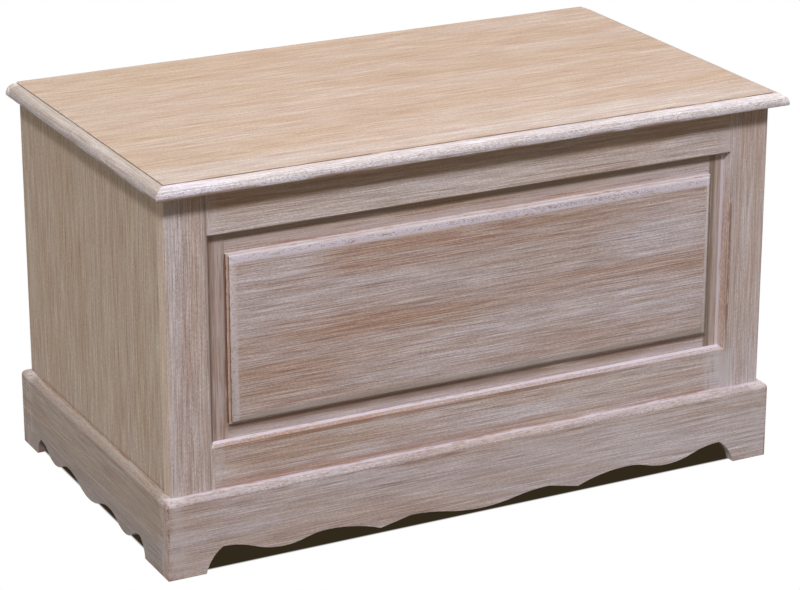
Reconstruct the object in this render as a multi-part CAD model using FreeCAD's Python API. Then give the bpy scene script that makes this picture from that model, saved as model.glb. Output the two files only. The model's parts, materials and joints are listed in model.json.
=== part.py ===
import FreeCAD, Part
import math
import os

# Blanket chest: a frame and panel box on a scalloped plinth, with a hinged lid held by two slotted stays.
# Millimetres. +X is to the right seen from the front, the front faces -Y, +Z is up.
# The origin is on the floor, under the middle of the overall box.

# Case
case_width = 864.0
case_depth = 490.0
case_height = 394.0
side_thickness = 18.0
back_thickness = 18.0
arris_radius = 1.5

# Front frame
frame_thickness = 22.0
stile_width = 60.0
top_rail_width = 63.5
bottom_rail_width = 61.0
bevel_width = 4.5
bevel_depth = 8.5
groove_depth = 10.0
tenon_side_gap = 0.1
tenon_end_gap = 0.5

# Raised panel, from its tongue in the groove to the flat field
panel_setback = 10.0
tongue_thickness = 7.0
tongue_side_gap = 0.2
tongue_end_gap = 1.0
side_margin = 22.8
top_margin = 24.7
bottom_margin = 20.3
first_step_rise = 4.2
ledge_width = 3.0
second_step_rise = 2.5
field_round_width = 9.0
field_round_rise = 1.8

# Bottom
bottom_thickness = 9.0
bottom_edge_gap = 1.0
bearer_size = 18.0

# Plinth
plinth_height = 107.0
plinth_projection = 11.0
plinth_thickness = 15.0
plinth_top_round = 9.0
plinth_back_clear = 35.0
block_leg = 45.0
block_nose = 15.0
block_clear = 30.0

# Feet and scallops. Each scallop step runs outwards from the one before it, from the lobe in the middle:
# its kind, where it ends as a share of half the gap between the feet, and its height there.
# A wave is level at both ends, a ramp is straight, and a crest is level at its outer end only.
front_foot = 52.0
side_front_foot = 62.0
side_back_foot = 52.0
front_lobe_height = 10.5
front_scallop = (
    ("wave", 0.262, 21.5),
    ("ramp", 0.376, 12.2),
    ("crest", 0.568, 26.0),
    ("wave", 0.726, 16.3),
    ("wave", 0.941, 33.0),
)
side_lobe_height = 6.5
side_scallop = (
    ("wave", 0.38, 22.7),
    ("wave", 0.648, 8.0),
    ("wave", 0.917, 25.7),
)
cove_bulge = 4.0

# Lid
lid_thickness = 17.0
lid_side_overhang = 18.0
lid_front_overhang = 23.0
lid_back_overhang = 2.0
nosing_width = 16.0
nosing_step = 2.0
nosing_round = 12.5
nosing_under_round = 2.0
batten_width = 45.0
batten_thickness = 18.0
batten_end_inset = 202.0
batten_end_clear = 30.0

# Hinges
hinge_end_inset = 152.0
hinge_length = 70.0
knuckle_count = 5
knuckle_radius = 3.5
knuckle_end_gap = 0.15
knuckle_side_gap = 0.3
barrel_gap = 0.5
leaf_reach = 20.0
leaf_thickness = 2.0
leaf_face_gap = 0.2
leaf_bed_gap = 0.1
hinge_pin_radius = 1.8
pin_press_gap = 0.02
pin_running_gap = 0.08
pin_cap_radius = 2.8
pin_cap_length = 1.2

# Lid stays. The lid pivot and the case pin lie equally far from the hinge axis.
stay_reach = 170.0
stay_pin_angle = 22.0
stay_pivot_drop = 12.0
lid_opening_angle = 95.0
arm_width = 18.0
arm_thickness = 2.5
arm_plate_gap = 0.4
arm_ear_gap = 0.3
slide_pin_radius = 4.0
slide_tail_radius = 3.0
slide_head_radius = 7.0
slide_head_thickness = 2.0
slot_gap = 0.1
slot_end_gap = 0.5
stay_plate_width = 24.0
stay_plate_length = 56.0
stay_plate_thickness = 2.0
bracket_thickness = 2.0
bracket_flange = 20.0
bracket_length = 40.0
ear_radius = 8.0
rivet_radius = 2.5
rivet_head_radius = 4.5
rivet_head_thickness = 1.2
rivet_gap = 0.1

# Places that follow from the sizes above
half_case = case_width / 2
half_plinth = half_case + plinth_projection
half_lid = half_case + lid_side_overhang
case_top = plinth_height + case_height
lid_top = case_top + lid_thickness
hinge_reach = lid_back_overhang + barrel_gap + 2 * knuckle_radius
front_reach = max(lid_front_overhang, plinth_projection)
back_reach = max(lid_back_overhang, plinth_projection, hinge_reach)
overall_depth = front_reach + case_depth + back_reach
case_front = front_reach - overall_depth / 2
case_back = case_front + case_depth
plinth_front = case_front - plinth_projection
plinth_back = case_back + plinth_projection
lid_front = case_front - lid_front_overhang
lid_back = case_back + lid_back_overhang
frame_back = case_front + frame_thickness
inner_half = half_case - side_thickness
inner_back = case_back - back_thickness
opening_half = half_case - stile_width
opening_bottom = plinth_height + bottom_rail_width
opening_top = case_top - top_rail_width
margin_face = case_front + panel_setback
tongue_back = margin_face + tongue_thickness
groove_front = margin_face - tongue_side_gap
groove_back = tongue_back + tongue_side_gap
bottom_bed = plinth_height + bearer_size
hinge_y = lid_back + barrel_gap + knuckle_radius
hinge_z = case_top
hinge_spread = half_case - hinge_end_inset
batten_spread = half_case - batten_end_inset
leaf_front = hinge_y - leaf_reach
thumb_round = min(nosing_round, nosing_width, lid_thickness - nosing_step - nosing_under_round)

# Places of the lid stays. The angles are taken at the hinge axis, from level downwards.
pivot_angle = math.asin(stay_pivot_drop / stay_reach)
pin_angle = math.radians(stay_pin_angle)
pivot_y = hinge_y - stay_reach * math.cos(pivot_angle)
pivot_z = hinge_z - stay_pivot_drop
slide_y = hinge_y - stay_reach * math.cos(pin_angle)
slide_z = hinge_z - stay_reach * math.sin(pin_angle)
closed_half_angle = (pin_angle - pivot_angle) / 2
open_half_angle = closed_half_angle + math.radians(lid_opening_angle) / 2
closed_span = 2 * stay_reach * math.sin(closed_half_angle)
open_span = 2 * stay_reach * math.sin(open_half_angle)
arm_lean = (pin_angle + pivot_angle) / 2
plate_face = inner_half - stay_plate_thickness
arm_outer = plate_face - arm_plate_gap
arm_inner = arm_outer - arm_thickness
ear_outer = arm_inner - arm_ear_gap
ear_inner = ear_outer - bracket_thickness

# Points of an outline that are closer than this are one point
same_point = 1e-6

V = FreeCAD.Vector


def along_x(x):
    """Plane square to X: an outline's two directions are Y and Z."""
    return lambda y, z: V(x, y, z)


def along_y(y):
    """Plane square to Y: an outline's two directions are X and Z."""
    return lambda x, z: V(x, y, z)


def along_z(z):
    """Plane square to Z: an outline's two directions are X and Y."""
    return lambda x, y: V(x, y, z)


class Outline:
    """A closed outline drawn point by point on a plane, then swept to a solid."""

    def __init__(self, plane, u, v):
        self.plane = plane
        self.first = (u, v)
        self.here = (u, v)
        self.edges = []

    def line(self, u, v):
        """Straight edge to a point, or none where the outline is there already."""
        start, end = self.plane(*self.here), self.plane(u, v)
        if not start.isEqual(end, same_point):
            self.edges.append(Part.LineSegment(start, end).toShape())
        self.here = (u, v)
        return self

    def rounded(self, corner, end):
        """Quarter circle that rounds off a corner."""
        centre = tuple(a + b - c for a, b, c in zip(self.here, end, corner))
        share = math.dist(centre, end) / math.dist(centre, corner)
        return self.arc(tuple(c + share * (k - c) for c, k in zip(centre, corner)), end)

    def arc(self, middle, end):
        arc = Part.Arc(self.plane(*self.here), self.plane(*middle), self.plane(*end))
        self.edges.append(arc.toShape())
        self.here = end
        return self

    def solid(self, sweep):
        if self.here != self.first:
            self.line(*self.first)
        return Part.Face(Part.Wire(self.edges)).extrude(sweep)


def crest_middle(start, end):
    """Middle of the arc from start to end that runs level at its end."""
    run, rise = start[0] - end[0], start[1] - end[1]
    radius = (run ** 2 + rise ** 2) / (2 * abs(rise))
    half_turn = math.atan2(abs(rise), abs(run))
    across = math.copysign(radius * math.sin(half_turn), run)
    up = math.copysign(radius * (1 - math.cos(half_turn)), rise)
    return end[0] + across, end[1] + up


def block(x0, x1, y0, y1, z0, z1):
    return Part.makeBox(x1 - x0, y1 - y0, z1 - z0, V(x0, y0, z0))


def rod(radius, start, end):
    return Part.makeCylinder(radius, (end - start).Length, start, end - start)


def mirrored(shape):
    return shape.mirror(V(0, 0, 0), V(1, 0, 0))


def on_both_sides(shape):
    """A shape and its mirror image across the chest's middle."""
    return [shape, mirrored(shape)]


# Front frame and its raised panel

def frame_bevel():
    """Tapered block that cuts the mitred bevel round the inner edge of the front frame."""
    def taper(plane, low, high, sweep):
        outline = Outline(plane, low - bevel_width, case_front)
        outline.line(high + bevel_width, case_front)
        outline.line(high, case_front + bevel_depth)
        outline.line(low, case_front + bevel_depth)
        return outline.solid(sweep)

    upright = taper(along_z(plinth_height), -opening_half, opening_half, V(0, 0, case_height))
    level = taper(lambda z, y: V(-half_case, y, z), opening_bottom, opening_top, V(case_width, 0, 0))
    return upright.common(level)


def right_stile():
    outline = Outline(along_z(plinth_height), opening_half, case_front)
    outline.line(half_case - arris_radius, case_front)
    outline.rounded((half_case, case_front), (half_case, case_front + arris_radius))
    outline.line(half_case, frame_back)
    outline.line(opening_half, frame_back)
    outline.line(opening_half, groove_back)
    outline.line(opening_half + groove_depth, groove_back)
    outline.line(opening_half + groove_depth, groove_front)
    outline.line(opening_half, groove_front)
    return outline.solid(V(0, 0, case_height)).cut(frame_bevel())


def rail(outer, inner):
    """Front rail between two heights, grooved along its inner edge, with a stub tenon at each end."""
    low, high = min(outer, inner), max(outer, inner)
    groove_floor = inner + math.copysign(groove_depth, outer - inner)
    body = block(-opening_half, opening_half, case_front, frame_back, low, high)
    tenon_half = opening_half + groove_depth - tenon_end_gap
    tenon_front, tenon_back = groove_front + tenon_side_gap, groove_back - tenon_side_gap
    body = body.fuse(block(-tenon_half, tenon_half, tenon_front, tenon_back, low, high))
    groove_low, groove_high = min(groove_floor, inner), max(groove_floor, inner)
    groove = block(-half_case, half_case, groove_front, groove_back, groove_low, groove_high)
    return body.cut(groove).cut(frame_bevel())


def raised_prism(plane, low_edge, low_wall, high_wall, high_edge, sweep):
    """Panel section with the stepped and rounded field edge at both ends, swept through the panel."""
    ledge_face = margin_face - first_step_rise
    round_foot = ledge_face - second_step_rise
    field_face = round_foot - field_round_rise
    low_round, high_round = low_wall + ledge_width, high_wall - ledge_width
    outline = Outline(plane, low_edge, tongue_back)
    outline.line(low_edge, margin_face)
    outline.line(low_wall, margin_face)
    outline.line(low_wall, ledge_face)
    outline.line(low_round, ledge_face)
    outline.line(low_round, round_foot)
    low_flat, high_flat = low_round + field_round_width, high_round - field_round_width
    outline.arc(crest_middle((low_round, round_foot), (low_flat, field_face)), (low_flat, field_face))
    outline.line(high_flat, field_face)
    outline.arc(crest_middle((high_round, round_foot), (high_flat, field_face)), (high_round, round_foot))
    outline.line(high_round, ledge_face)
    outline.line(high_wall, ledge_face)
    outline.line(high_wall, margin_face)
    outline.line(high_edge, margin_face)
    outline.line(high_edge, tongue_back)
    return outline.solid(sweep)


def raised_panel():
    """Two crossed prisms meet in a panel whose field edge is mitred at its corners."""
    reach = groove_depth - tongue_end_gap
    low, high = opening_bottom - reach, opening_top + reach
    half = opening_half + reach
    field_half = opening_half - side_margin
    upright = raised_prism(along_z(low), -half, -field_half, field_half, half, V(0, 0, high - low))
    level = raised_prism(lambda z, y: V(-half, y, z), low, opening_bottom + bottom_margin,
                         opening_top - top_margin, high, V(2 * half, 0, 0))
    return upright.common(level)


# Case boards

def right_side():
    outline = Outline(along_z(plinth_height), inner_half, frame_back)
    outline.line(half_case, frame_back)
    outline.line(half_case, case_back - arris_radius)
    outline.rounded((half_case, case_back), (half_case - arris_radius, case_back))
    outline.line(inner_half, case_back)
    return outline.solid(V(0, 0, case_height))


def back_panel():
    panel = block(-inner_half, inner_half, inner_back, case_back, plinth_height, case_top)
    return panel.cut(on_both_sides(leaf_bed(-1)))


def bottom_panel():
    half = inner_half - bottom_edge_gap
    front, back = frame_back + bottom_edge_gap, inner_back - bottom_edge_gap
    return block(-half, half, front, back, bottom_bed, bottom_bed + bottom_thickness)


def long_bearer(wall, inward):
    front, back = sorted((wall, wall + inward * bearer_size))
    return block(-inner_half, inner_half, front, back, plinth_height, bottom_bed)


def right_bearer():
    front, back = frame_back + bearer_size, inner_back - bearer_size
    return block(inner_half - bearer_size, inner_half, front, back, plinth_height, bottom_bed)


# Plinth

def scallop_half(half_gap, lobe_height, steps):
    """Half of a scalloped edge from the middle to the foot: the points of each arc or straight in turn."""
    stretches = []
    here = (0.0, lobe_height)
    for kind, share, height in steps:
        end = (share * half_gap, height)
        halfway = ((here[0] + end[0]) / 2, (here[1] + end[1]) / 2)
        if kind == "wave":
            stretches.append((here, crest_middle(halfway, here), halfway))
            stretches.append((halfway, crest_middle(halfway, end), end))
        elif kind == "crest":
            stretches.append((here, crest_middle(here, end), end))
        else:
            stretches.append((here, end))
        here = end
    run, drop = half_gap - here[0], here[1]
    bulge = cove_bulge / math.hypot(run, drop)
    middle = ((here[0] + half_gap) / 2 + drop * bulge, drop / 2 + run * bulge)
    stretches.append((here, middle, (half_gap, 0.0)))
    return stretches


def scallop(outline, middle, half):
    """Draws the lower edge from one foot to the other: a cove at each foot and lobes between them."""
    other_half = [tuple((-u, v) for u, v in reversed(points)) for points in reversed(half)]
    for points in other_half + half:
        through = [(middle + u, v) for u, v in points[1:]]
        if len(through) == 1:
            outline.line(*through[0])
        else:
            outline.arc(*through)


def plinth_board(plane, low, high, low_foot, high_foot, lobe_height, steps, sweep):
    outline = Outline(plane, low, 0.0)
    near, far = low + low_foot, high - high_foot
    outline.line(near, 0.0)
    scallop(outline, (near + far) / 2, scallop_half((far - near) / 2, lobe_height, steps))
    outline.line(high, 0.0)
    outline.line(high, plinth_height)
    outline.line(low, plinth_height)
    return outline.solid(sweep)


def plinth_envelope():
    """Block with the plinth's rounded top edge and eased corners, which trims the boards."""
    def section(plane, low, high, sweep):
        shoulder = plinth_height - plinth_top_round
        outline = Outline(plane, low, 0.0)
        outline.line(low, shoulder)
        outline.rounded((low, plinth_height), (low + plinth_top_round, plinth_height))
        outline.line(high - plinth_top_round, plinth_height)
        outline.rounded((high, plinth_height), (high, shoulder))
        outline.line(high, 0.0)
        return outline.solid(sweep)

    across = section(along_x(-half_plinth), plinth_front, plinth_back, V(2 * half_plinth, 0, 0))
    depth = plinth_back - plinth_front
    through = section(along_y(plinth_front), -half_plinth, half_plinth, V(0, depth, 0))
    plan = Outline(along_z(0.0), -half_plinth, plinth_front + arris_radius)
    plan.rounded((-half_plinth, plinth_front), (arris_radius - half_plinth, plinth_front))
    plan.line(half_plinth - arris_radius, plinth_front)
    plan.rounded((half_plinth, plinth_front), (half_plinth, plinth_front + arris_radius))
    plan.line(half_plinth, plinth_back - arris_radius)
    plan.rounded((half_plinth, plinth_back), (half_plinth - arris_radius, plinth_back))
    plan.line(arris_radius - half_plinth, plinth_back)
    plan.rounded((-half_plinth, plinth_back), (-half_plinth, plinth_back - arris_radius))
    return across.common(through).common(plan.solid(V(0, 0, plinth_height)))


def plinth_front_board():
    board = plinth_board(along_y(plinth_front), -half_plinth, half_plinth, front_foot, front_foot,
                         front_lobe_height, front_scallop, V(0, plinth_thickness, 0))
    return board.common(plinth_envelope())


def plinth_right_board():
    front = plinth_front + plinth_thickness
    board = plinth_board(along_x(half_plinth - plinth_thickness), front, plinth_back, side_front_foot,
                         side_back_foot, side_lobe_height, side_scallop, V(plinth_thickness, 0, 0))
    return board.common(plinth_envelope())


def plinth_back_board():
    half = half_plinth - plinth_thickness
    front = plinth_back - plinth_thickness
    board = block(-half, half, front, plinth_back, plinth_back_clear, plinth_height)
    return board.common(plinth_envelope())


def right_corner_block(wall, inward):
    """Glue block with its square corner in the corner of the plinth."""
    corner = half_plinth - plinth_thickness
    outline = Outline(along_z(block_clear), corner, wall)
    outline.line(corner, wall + inward * block_leg)
    outline.line(corner - block_nose, wall + inward * block_leg)
    outline.line(corner - block_leg, wall + inward * block_nose)
    outline.line(corner - block_leg, wall)
    return outline.solid(V(0, 0, plinth_height - block_clear))


# Lid

def lid_slab():
    """Whole lid with the thumbnail nosing on its front and sides and a square back edge."""
    shoulder = lid_top - nosing_step
    waist = shoulder - thumb_round
    heel = case_top + nosing_under_round
    across = Outline(along_x(-half_lid), lid_back, case_top)
    across.line(lid_back, lid_top)
    across.line(lid_front + nosing_width, lid_top)
    across.line(lid_front + nosing_width, shoulder)
    across.line(lid_front + thumb_round, shoulder)
    across.rounded((lid_front, shoulder), (lid_front, waist))
    across.line(lid_front, heel)
    across.rounded((lid_front, case_top), (lid_front + nosing_under_round, case_top))
    through = Outline(along_y(lid_front), nosing_under_round - half_lid, case_top)
    through.rounded((-half_lid, case_top), (-half_lid, heel))
    through.line(-half_lid, waist)
    through.rounded((-half_lid, shoulder), (thumb_round - half_lid, shoulder))
    through.line(nosing_width - half_lid, shoulder)
    through.line(nosing_width - half_lid, lid_top)
    through.line(half_lid - nosing_width, lid_top)
    through.line(half_lid - nosing_width, shoulder)
    through.line(half_lid - thumb_round, shoulder)
    through.rounded((half_lid, shoulder), (half_lid, waist))
    through.line(half_lid, heel)
    through.rounded((half_lid, case_top), (half_lid - nosing_under_round, case_top))
    depth = lid_back - lid_front
    return across.solid(V(2 * half_lid, 0, 0)).common(through.solid(V(0, depth, 0)))


def lid_panel():
    half = half_lid - nosing_width
    panel = block(-half, half, lid_front + nosing_width, lid_back, case_top, lid_top)
    return panel.cut(on_both_sides(leaf_bed(1)))


def front_nosing():
    outline = Outline(along_z(case_top), -half_lid, lid_front)
    outline.line(half_lid, lid_front)
    outline.line(half_lid - nosing_width, lid_front + nosing_width)
    outline.line(nosing_width - half_lid, lid_front + nosing_width)
    return lid_slab().common(outline.solid(V(0, 0, lid_thickness)))


def right_nosing():
    outline = Outline(along_z(case_top), half_lid, lid_front)
    outline.line(half_lid, lid_back)
    outline.line(half_lid - nosing_width, lid_back)
    outline.line(half_lid - nosing_width, lid_front + nosing_width)
    return lid_slab().common(outline.solid(V(0, 0, lid_thickness)))


def right_batten():
    front, back = frame_back + batten_end_clear, inner_back - batten_end_clear
    half = batten_width / 2
    return block(batten_spread - half, batten_spread + half, front, back,
                 case_top - batten_thickness, case_top)


# Hinges, built on the right and mirrored to the left

def on_hinge(x):
    return V(x, hinge_y, hinge_z)


def knuckle_spans(parity, gap):
    """Where every second knuckle starts and ends along the hinge, drawn in by a gap."""
    pitch = hinge_length / knuckle_count
    first = hinge_spread - hinge_length / 2
    starts = [first + i * pitch for i in range(parity, knuckle_count, 2)]
    return [(start + gap, start + pitch - gap) for start in starts]


def hinge_leaf(parity, side, bore_gap):
    """Leaf on one side of the joint line, with its own knuckles and square notches for the other leaf's."""
    face = hinge_z + side * leaf_face_gap
    low, high = sorted((face, face + side * leaf_thickness))
    left, right = hinge_spread - hinge_length / 2, hinge_spread + hinge_length / 2
    notch_front = hinge_y - knuckle_radius - knuckle_side_gap
    leaf = block(left, right, leaf_front, hinge_y, low, high)
    leaf = leaf.cut([block(start, end, notch_front, hinge_y, low, high)
                     for start, end in knuckle_spans(1 - parity, -knuckle_end_gap)])
    leaf = leaf.fuse([rod(knuckle_radius, on_hinge(start), on_hinge(end))
                      for start, end in knuckle_spans(parity, knuckle_end_gap)])
    return leaf.cut(rod(hinge_pin_radius + bore_gap, on_hinge(left), on_hinge(right)))


def leaf_bed(side):
    """Recess that lets a leaf into the wood, open at the back."""
    half = hinge_length / 2 + leaf_bed_gap
    deep = hinge_z + side * (leaf_face_gap + leaf_thickness)
    low, high = sorted((hinge_z, deep))
    return block(hinge_spread - half, hinge_spread + half, leaf_front - leaf_bed_gap, hinge_y, low, high)


def hinge_pin():
    left, right = hinge_spread - hinge_length / 2, hinge_spread + hinge_length / 2
    left_cap = rod(pin_cap_radius, on_hinge(left - pin_cap_length), on_hinge(left))
    right_cap = rod(pin_cap_radius, on_hinge(right), on_hinge(right + pin_cap_length))
    return rod(hinge_pin_radius, on_hinge(left), on_hinge(right)).fuse([left_cap, right_cap])


# Lid stays, built on the right and mirrored to the left

def at_pivot(x):
    return V(x, pivot_y, pivot_z)


def at_slide(x):
    return V(x, slide_y, slide_z)


def along_arm(s, t):
    """Point of the arm's outline: s runs from the lid pivot towards the slide pin, t across the arm."""
    return V(arm_inner, pivot_y + s * math.sin(arm_lean) + t * math.cos(arm_lean),
             pivot_z - s * math.cos(arm_lean) + t * math.sin(arm_lean))


def round_bar(near, far, half_width):
    """Bar along the arm with a round end about each of two centres."""
    outline = Outline(along_arm, near, -half_width)
    outline.line(far, -half_width)
    outline.arc((far + half_width, 0.0), (far, half_width))
    outline.line(near, half_width)
    outline.arc((near - half_width, 0.0), (near, -half_width))
    return outline.solid(V(arm_thickness, 0, 0))


def stay_arm():
    bar = round_bar(0.0, open_span + slot_end_gap, arm_width / 2)
    slot = round_bar(closed_span - slot_end_gap, open_span + slot_end_gap, slide_pin_radius + slot_gap)
    hole = rod(rivet_radius + pin_running_gap, at_pivot(arm_inner), at_pivot(arm_outer))
    return bar.cut([slot, hole])


def stay_plate():
    half, straight = stay_plate_width / 2, (stay_plate_length - stay_plate_width) / 2
    outline = Outline(along_x(plate_face), slide_y - half, slide_z - straight)
    outline.arc((slide_y, slide_z - straight - half), (slide_y + half, slide_z - straight))
    outline.line(slide_y + half, slide_z + straight)
    outline.arc((slide_y, slide_z + straight + half), (slide_y - half, slide_z + straight))
    plate = outline.solid(V(stay_plate_thickness, 0, 0))
    tail = rod(slide_tail_radius + pin_press_gap, at_slide(plate_face), at_slide(inner_half))
    return plate.cut(tail)


def slide_pin():
    shoulder_end = arm_inner - arm_plate_gap
    tail = rod(slide_tail_radius, at_slide(plate_face), at_slide(inner_half))
    shoulder = rod(slide_pin_radius, at_slide(shoulder_end), at_slide(plate_face))
    head = rod(slide_head_radius, at_slide(shoulder_end - slide_head_thickness), at_slide(shoulder_end))
    return tail.fuse([shoulder, head])


def lid_bracket():
    """Angle bracket: a flange under the lid and an ear that carries the arm's pivot."""
    half = bracket_length / 2
    under = case_top - bracket_thickness
    ear = Outline(along_x(ear_inner), pivot_y - half, case_top)
    ear.line(pivot_y - half, under)
    ear.line(pivot_y - ear_radius, pivot_z)
    ear.arc((pivot_y, pivot_z - ear_radius), (pivot_y + ear_radius, pivot_z))
    ear.line(pivot_y + half, under)
    ear.line(pivot_y + half, case_top)
    flange = block(ear_outer - bracket_flange, ear_outer, pivot_y - half, pivot_y + half, under, case_top)
    hole = rod(rivet_radius + pin_press_gap, at_pivot(ear_inner), at_pivot(ear_outer))
    bracket = ear.solid(V(bracket_thickness, 0, 0)).fuse(flange)
    return bracket.cut(hole)


def pivot_rivet():
    outer = arm_outer + rivet_gap
    shank = rod(rivet_radius, at_pivot(ear_inner), at_pivot(outer))
    inner_head = rod(rivet_head_radius, at_pivot(ear_inner - rivet_head_thickness), at_pivot(ear_inner))
    outer_head = rod(rivet_head_radius, at_pivot(outer), at_pivot(outer + rivet_head_thickness))
    return shank.fuse([inner_head, outer_head])


def nodes():
    """Every piece by the name of its node."""
    pieces = {
        "front_top_rail": rail(case_top, opening_top),
        "front_bottom_rail": rail(plinth_height, opening_bottom),
        "front_raised_panel": raised_panel(),
        "back_panel": back_panel(),
        "bottom_panel": bottom_panel(),
        "bottom_bearer_front": long_bearer(frame_back, 1),
        "bottom_bearer_back": long_bearer(inner_back, -1),
        "plinth_front": plinth_front_board(),
        "plinth_back": plinth_back_board(),
        "lid_panel": lid_panel(),
        "lid_nosing_front": front_nosing(),
    }
    paired = {
        "front_{}_stile": right_stile(),
        "{}_side": right_side(),
        "bottom_bearer_{}": right_bearer(),
        "plinth_{}": plinth_right_board(),
        "plinth_block_front_{}": right_corner_block(plinth_front + plinth_thickness, 1),
        "plinth_block_back_{}": right_corner_block(plinth_back - plinth_thickness, -1),
        "lid_nosing_{}": right_nosing(),
        "lid_batten_{}": right_batten(),
        "hinge_case_leaf_{}": hinge_leaf(0, -1, pin_press_gap),
        "hinge_lid_leaf_{}": hinge_leaf(1, 1, pin_running_gap),
        "hinge_pin_{}": hinge_pin(),
        "stay_arm_{}": stay_arm(),
        "stay_plate_{}": stay_plate(),
        "stay_slide_pin_{}": slide_pin(),
        "stay_bracket_{}": lid_bracket(),
        "stay_rivet_{}": pivot_rivet(),
    }
    for name, shape in paired.items():
        pieces[name.format("right")] = shape
        pieces[name.format("left")] = mirrored(shape)
    return pieces


os.makedirs("parts", exist_ok=True)
for node, shape in nodes().items():
    shape.exportStep(os.path.join("parts", node + ".step"))
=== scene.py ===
"""Looks of a limed blanket chest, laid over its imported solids.

Every board and fitting is a worked copy of its solid: whole faces, softened arrises and a finish of
its own. Sizes are in millimetres, and MM turns them into the scene's metres.
"""

import json
import logging
import math
from dataclasses import dataclass, field
from enum import Enum
from typing import Optional, Sequence, Union

import bmesh
import bpy
from mathutils import Euler, Matrix, Vector


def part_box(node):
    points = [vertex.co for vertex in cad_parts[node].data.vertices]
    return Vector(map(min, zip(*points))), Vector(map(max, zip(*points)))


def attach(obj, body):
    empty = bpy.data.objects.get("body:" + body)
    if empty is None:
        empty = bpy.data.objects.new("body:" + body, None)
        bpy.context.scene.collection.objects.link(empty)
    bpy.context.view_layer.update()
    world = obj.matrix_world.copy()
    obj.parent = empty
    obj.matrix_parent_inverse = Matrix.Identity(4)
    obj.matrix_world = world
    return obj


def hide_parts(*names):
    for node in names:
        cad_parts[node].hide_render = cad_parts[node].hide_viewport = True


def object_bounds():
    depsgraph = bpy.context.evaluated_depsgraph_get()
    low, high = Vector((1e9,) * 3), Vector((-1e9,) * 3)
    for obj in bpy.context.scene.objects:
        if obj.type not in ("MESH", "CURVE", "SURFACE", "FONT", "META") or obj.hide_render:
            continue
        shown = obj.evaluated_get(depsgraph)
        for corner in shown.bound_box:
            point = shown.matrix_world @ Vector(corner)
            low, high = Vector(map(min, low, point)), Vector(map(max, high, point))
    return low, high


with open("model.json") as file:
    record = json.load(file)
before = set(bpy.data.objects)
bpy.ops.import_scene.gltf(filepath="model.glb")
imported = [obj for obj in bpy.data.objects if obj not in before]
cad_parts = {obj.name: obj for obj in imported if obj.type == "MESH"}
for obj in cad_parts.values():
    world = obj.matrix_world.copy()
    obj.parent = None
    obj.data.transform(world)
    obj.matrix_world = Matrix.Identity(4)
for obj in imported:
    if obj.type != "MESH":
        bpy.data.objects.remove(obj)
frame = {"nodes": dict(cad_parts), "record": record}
cad_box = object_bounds()

MM = 0.001
ARRIS = "arris"
BOARD_SLOT, ARRIS_SLOT = 0, 1
PATCH_SEEDS, WASH_SEEDS = 10, 40
HANDS = ("left", "right")
METALS = {"brass": "dull_brass", "steel": "zinc_steel"}
BLACK, WHITE = (0.0, 0.0, 0.0, 1.0), (1.0, 1.0, 1.0, 1.0)

log = logging.getLogger("blanket_chest")

Colour = tuple[int, int, int]
Triple = tuple[float, float, float]
Socket = bpy.types.NodeSocket
Source = Union[Socket, float, tuple[float, ...]]


class Axis(Enum):
    """A direction of the chest, for grain and for ranges."""

    X = 0
    Y = 1
    Z = 2


class Side(Enum):
    """The way a face looks, as its outward direction."""

    LEFT = (-1.0, 0.0, 0.0)
    RIGHT = (1.0, 0.0, 0.0)
    FRONT = (0.0, -1.0, 0.0)
    BACK = (0.0, 1.0, 0.0)
    DOWN = (0.0, 0.0, -1.0)
    UP = (0.0, 0.0, 1.0)


def linear(colour: Colour) -> tuple[float, float, float, float]:
    """Turns a colour as it looks on screen into the linear values of a shader.

    Args:
        colour: Red, green and blue from 0 to 255.

    Returns:
        Linear red, green and blue, and a full alpha.
    """
    shares = [part / 255 for part in colour]
    curve = [s / 12.92 if s <= 0.04045 else ((s + 0.055) / 1.055) ** 2.4 for s in shares]
    return (curve[0], curve[1], curve[2], 1.0)


def box_mm(node: str) -> tuple[Vector, Vector]:
    """Lowest and highest corner of a node in millimetres.

    Args:
        node: Name of the node.

    Returns:
        The two corners.
    """
    low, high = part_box(node)
    return low / MM, high / MM


@dataclass(frozen=True)
class Span:
    """A stretch of one axis with soft ends.

    Attributes:
        axis: Axis that it runs along.
        low: Where it starts.
        high: Where it ends.
        soft: Length over which it fades at both ends.
        both_sides: Whether the axis is read without its sign, so that both halves of the chest match.
    """

    axis: Axis
    low: float
    high: float
    soft: float = 0.5
    both_sides: bool = False


@dataclass(frozen=True)
class Patch:
    """A stretch of a board that is limed, rubbed or stained apart from the rest.

    Attributes:
        colour: Its colour.
        cover: How much of the ground it hides where it is whole, from 0 to 1.
        spans: Stretches that bound it.
        facing: Side that its surface looks to, or None for any.
        grain: Axis along which its broken places are drawn out.
        along: Length of its broken places.
        across: Width of its broken places.
        whole: Share of it that stays whole, from 0 to 1.
    """

    colour: Colour
    cover: float
    spans: tuple[Span, ...] = ()
    facing: Optional[Side] = None
    grain: Axis = Axis.X
    along: float = 6.0
    across: float = 2.0
    whole: float = 1.0


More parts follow.
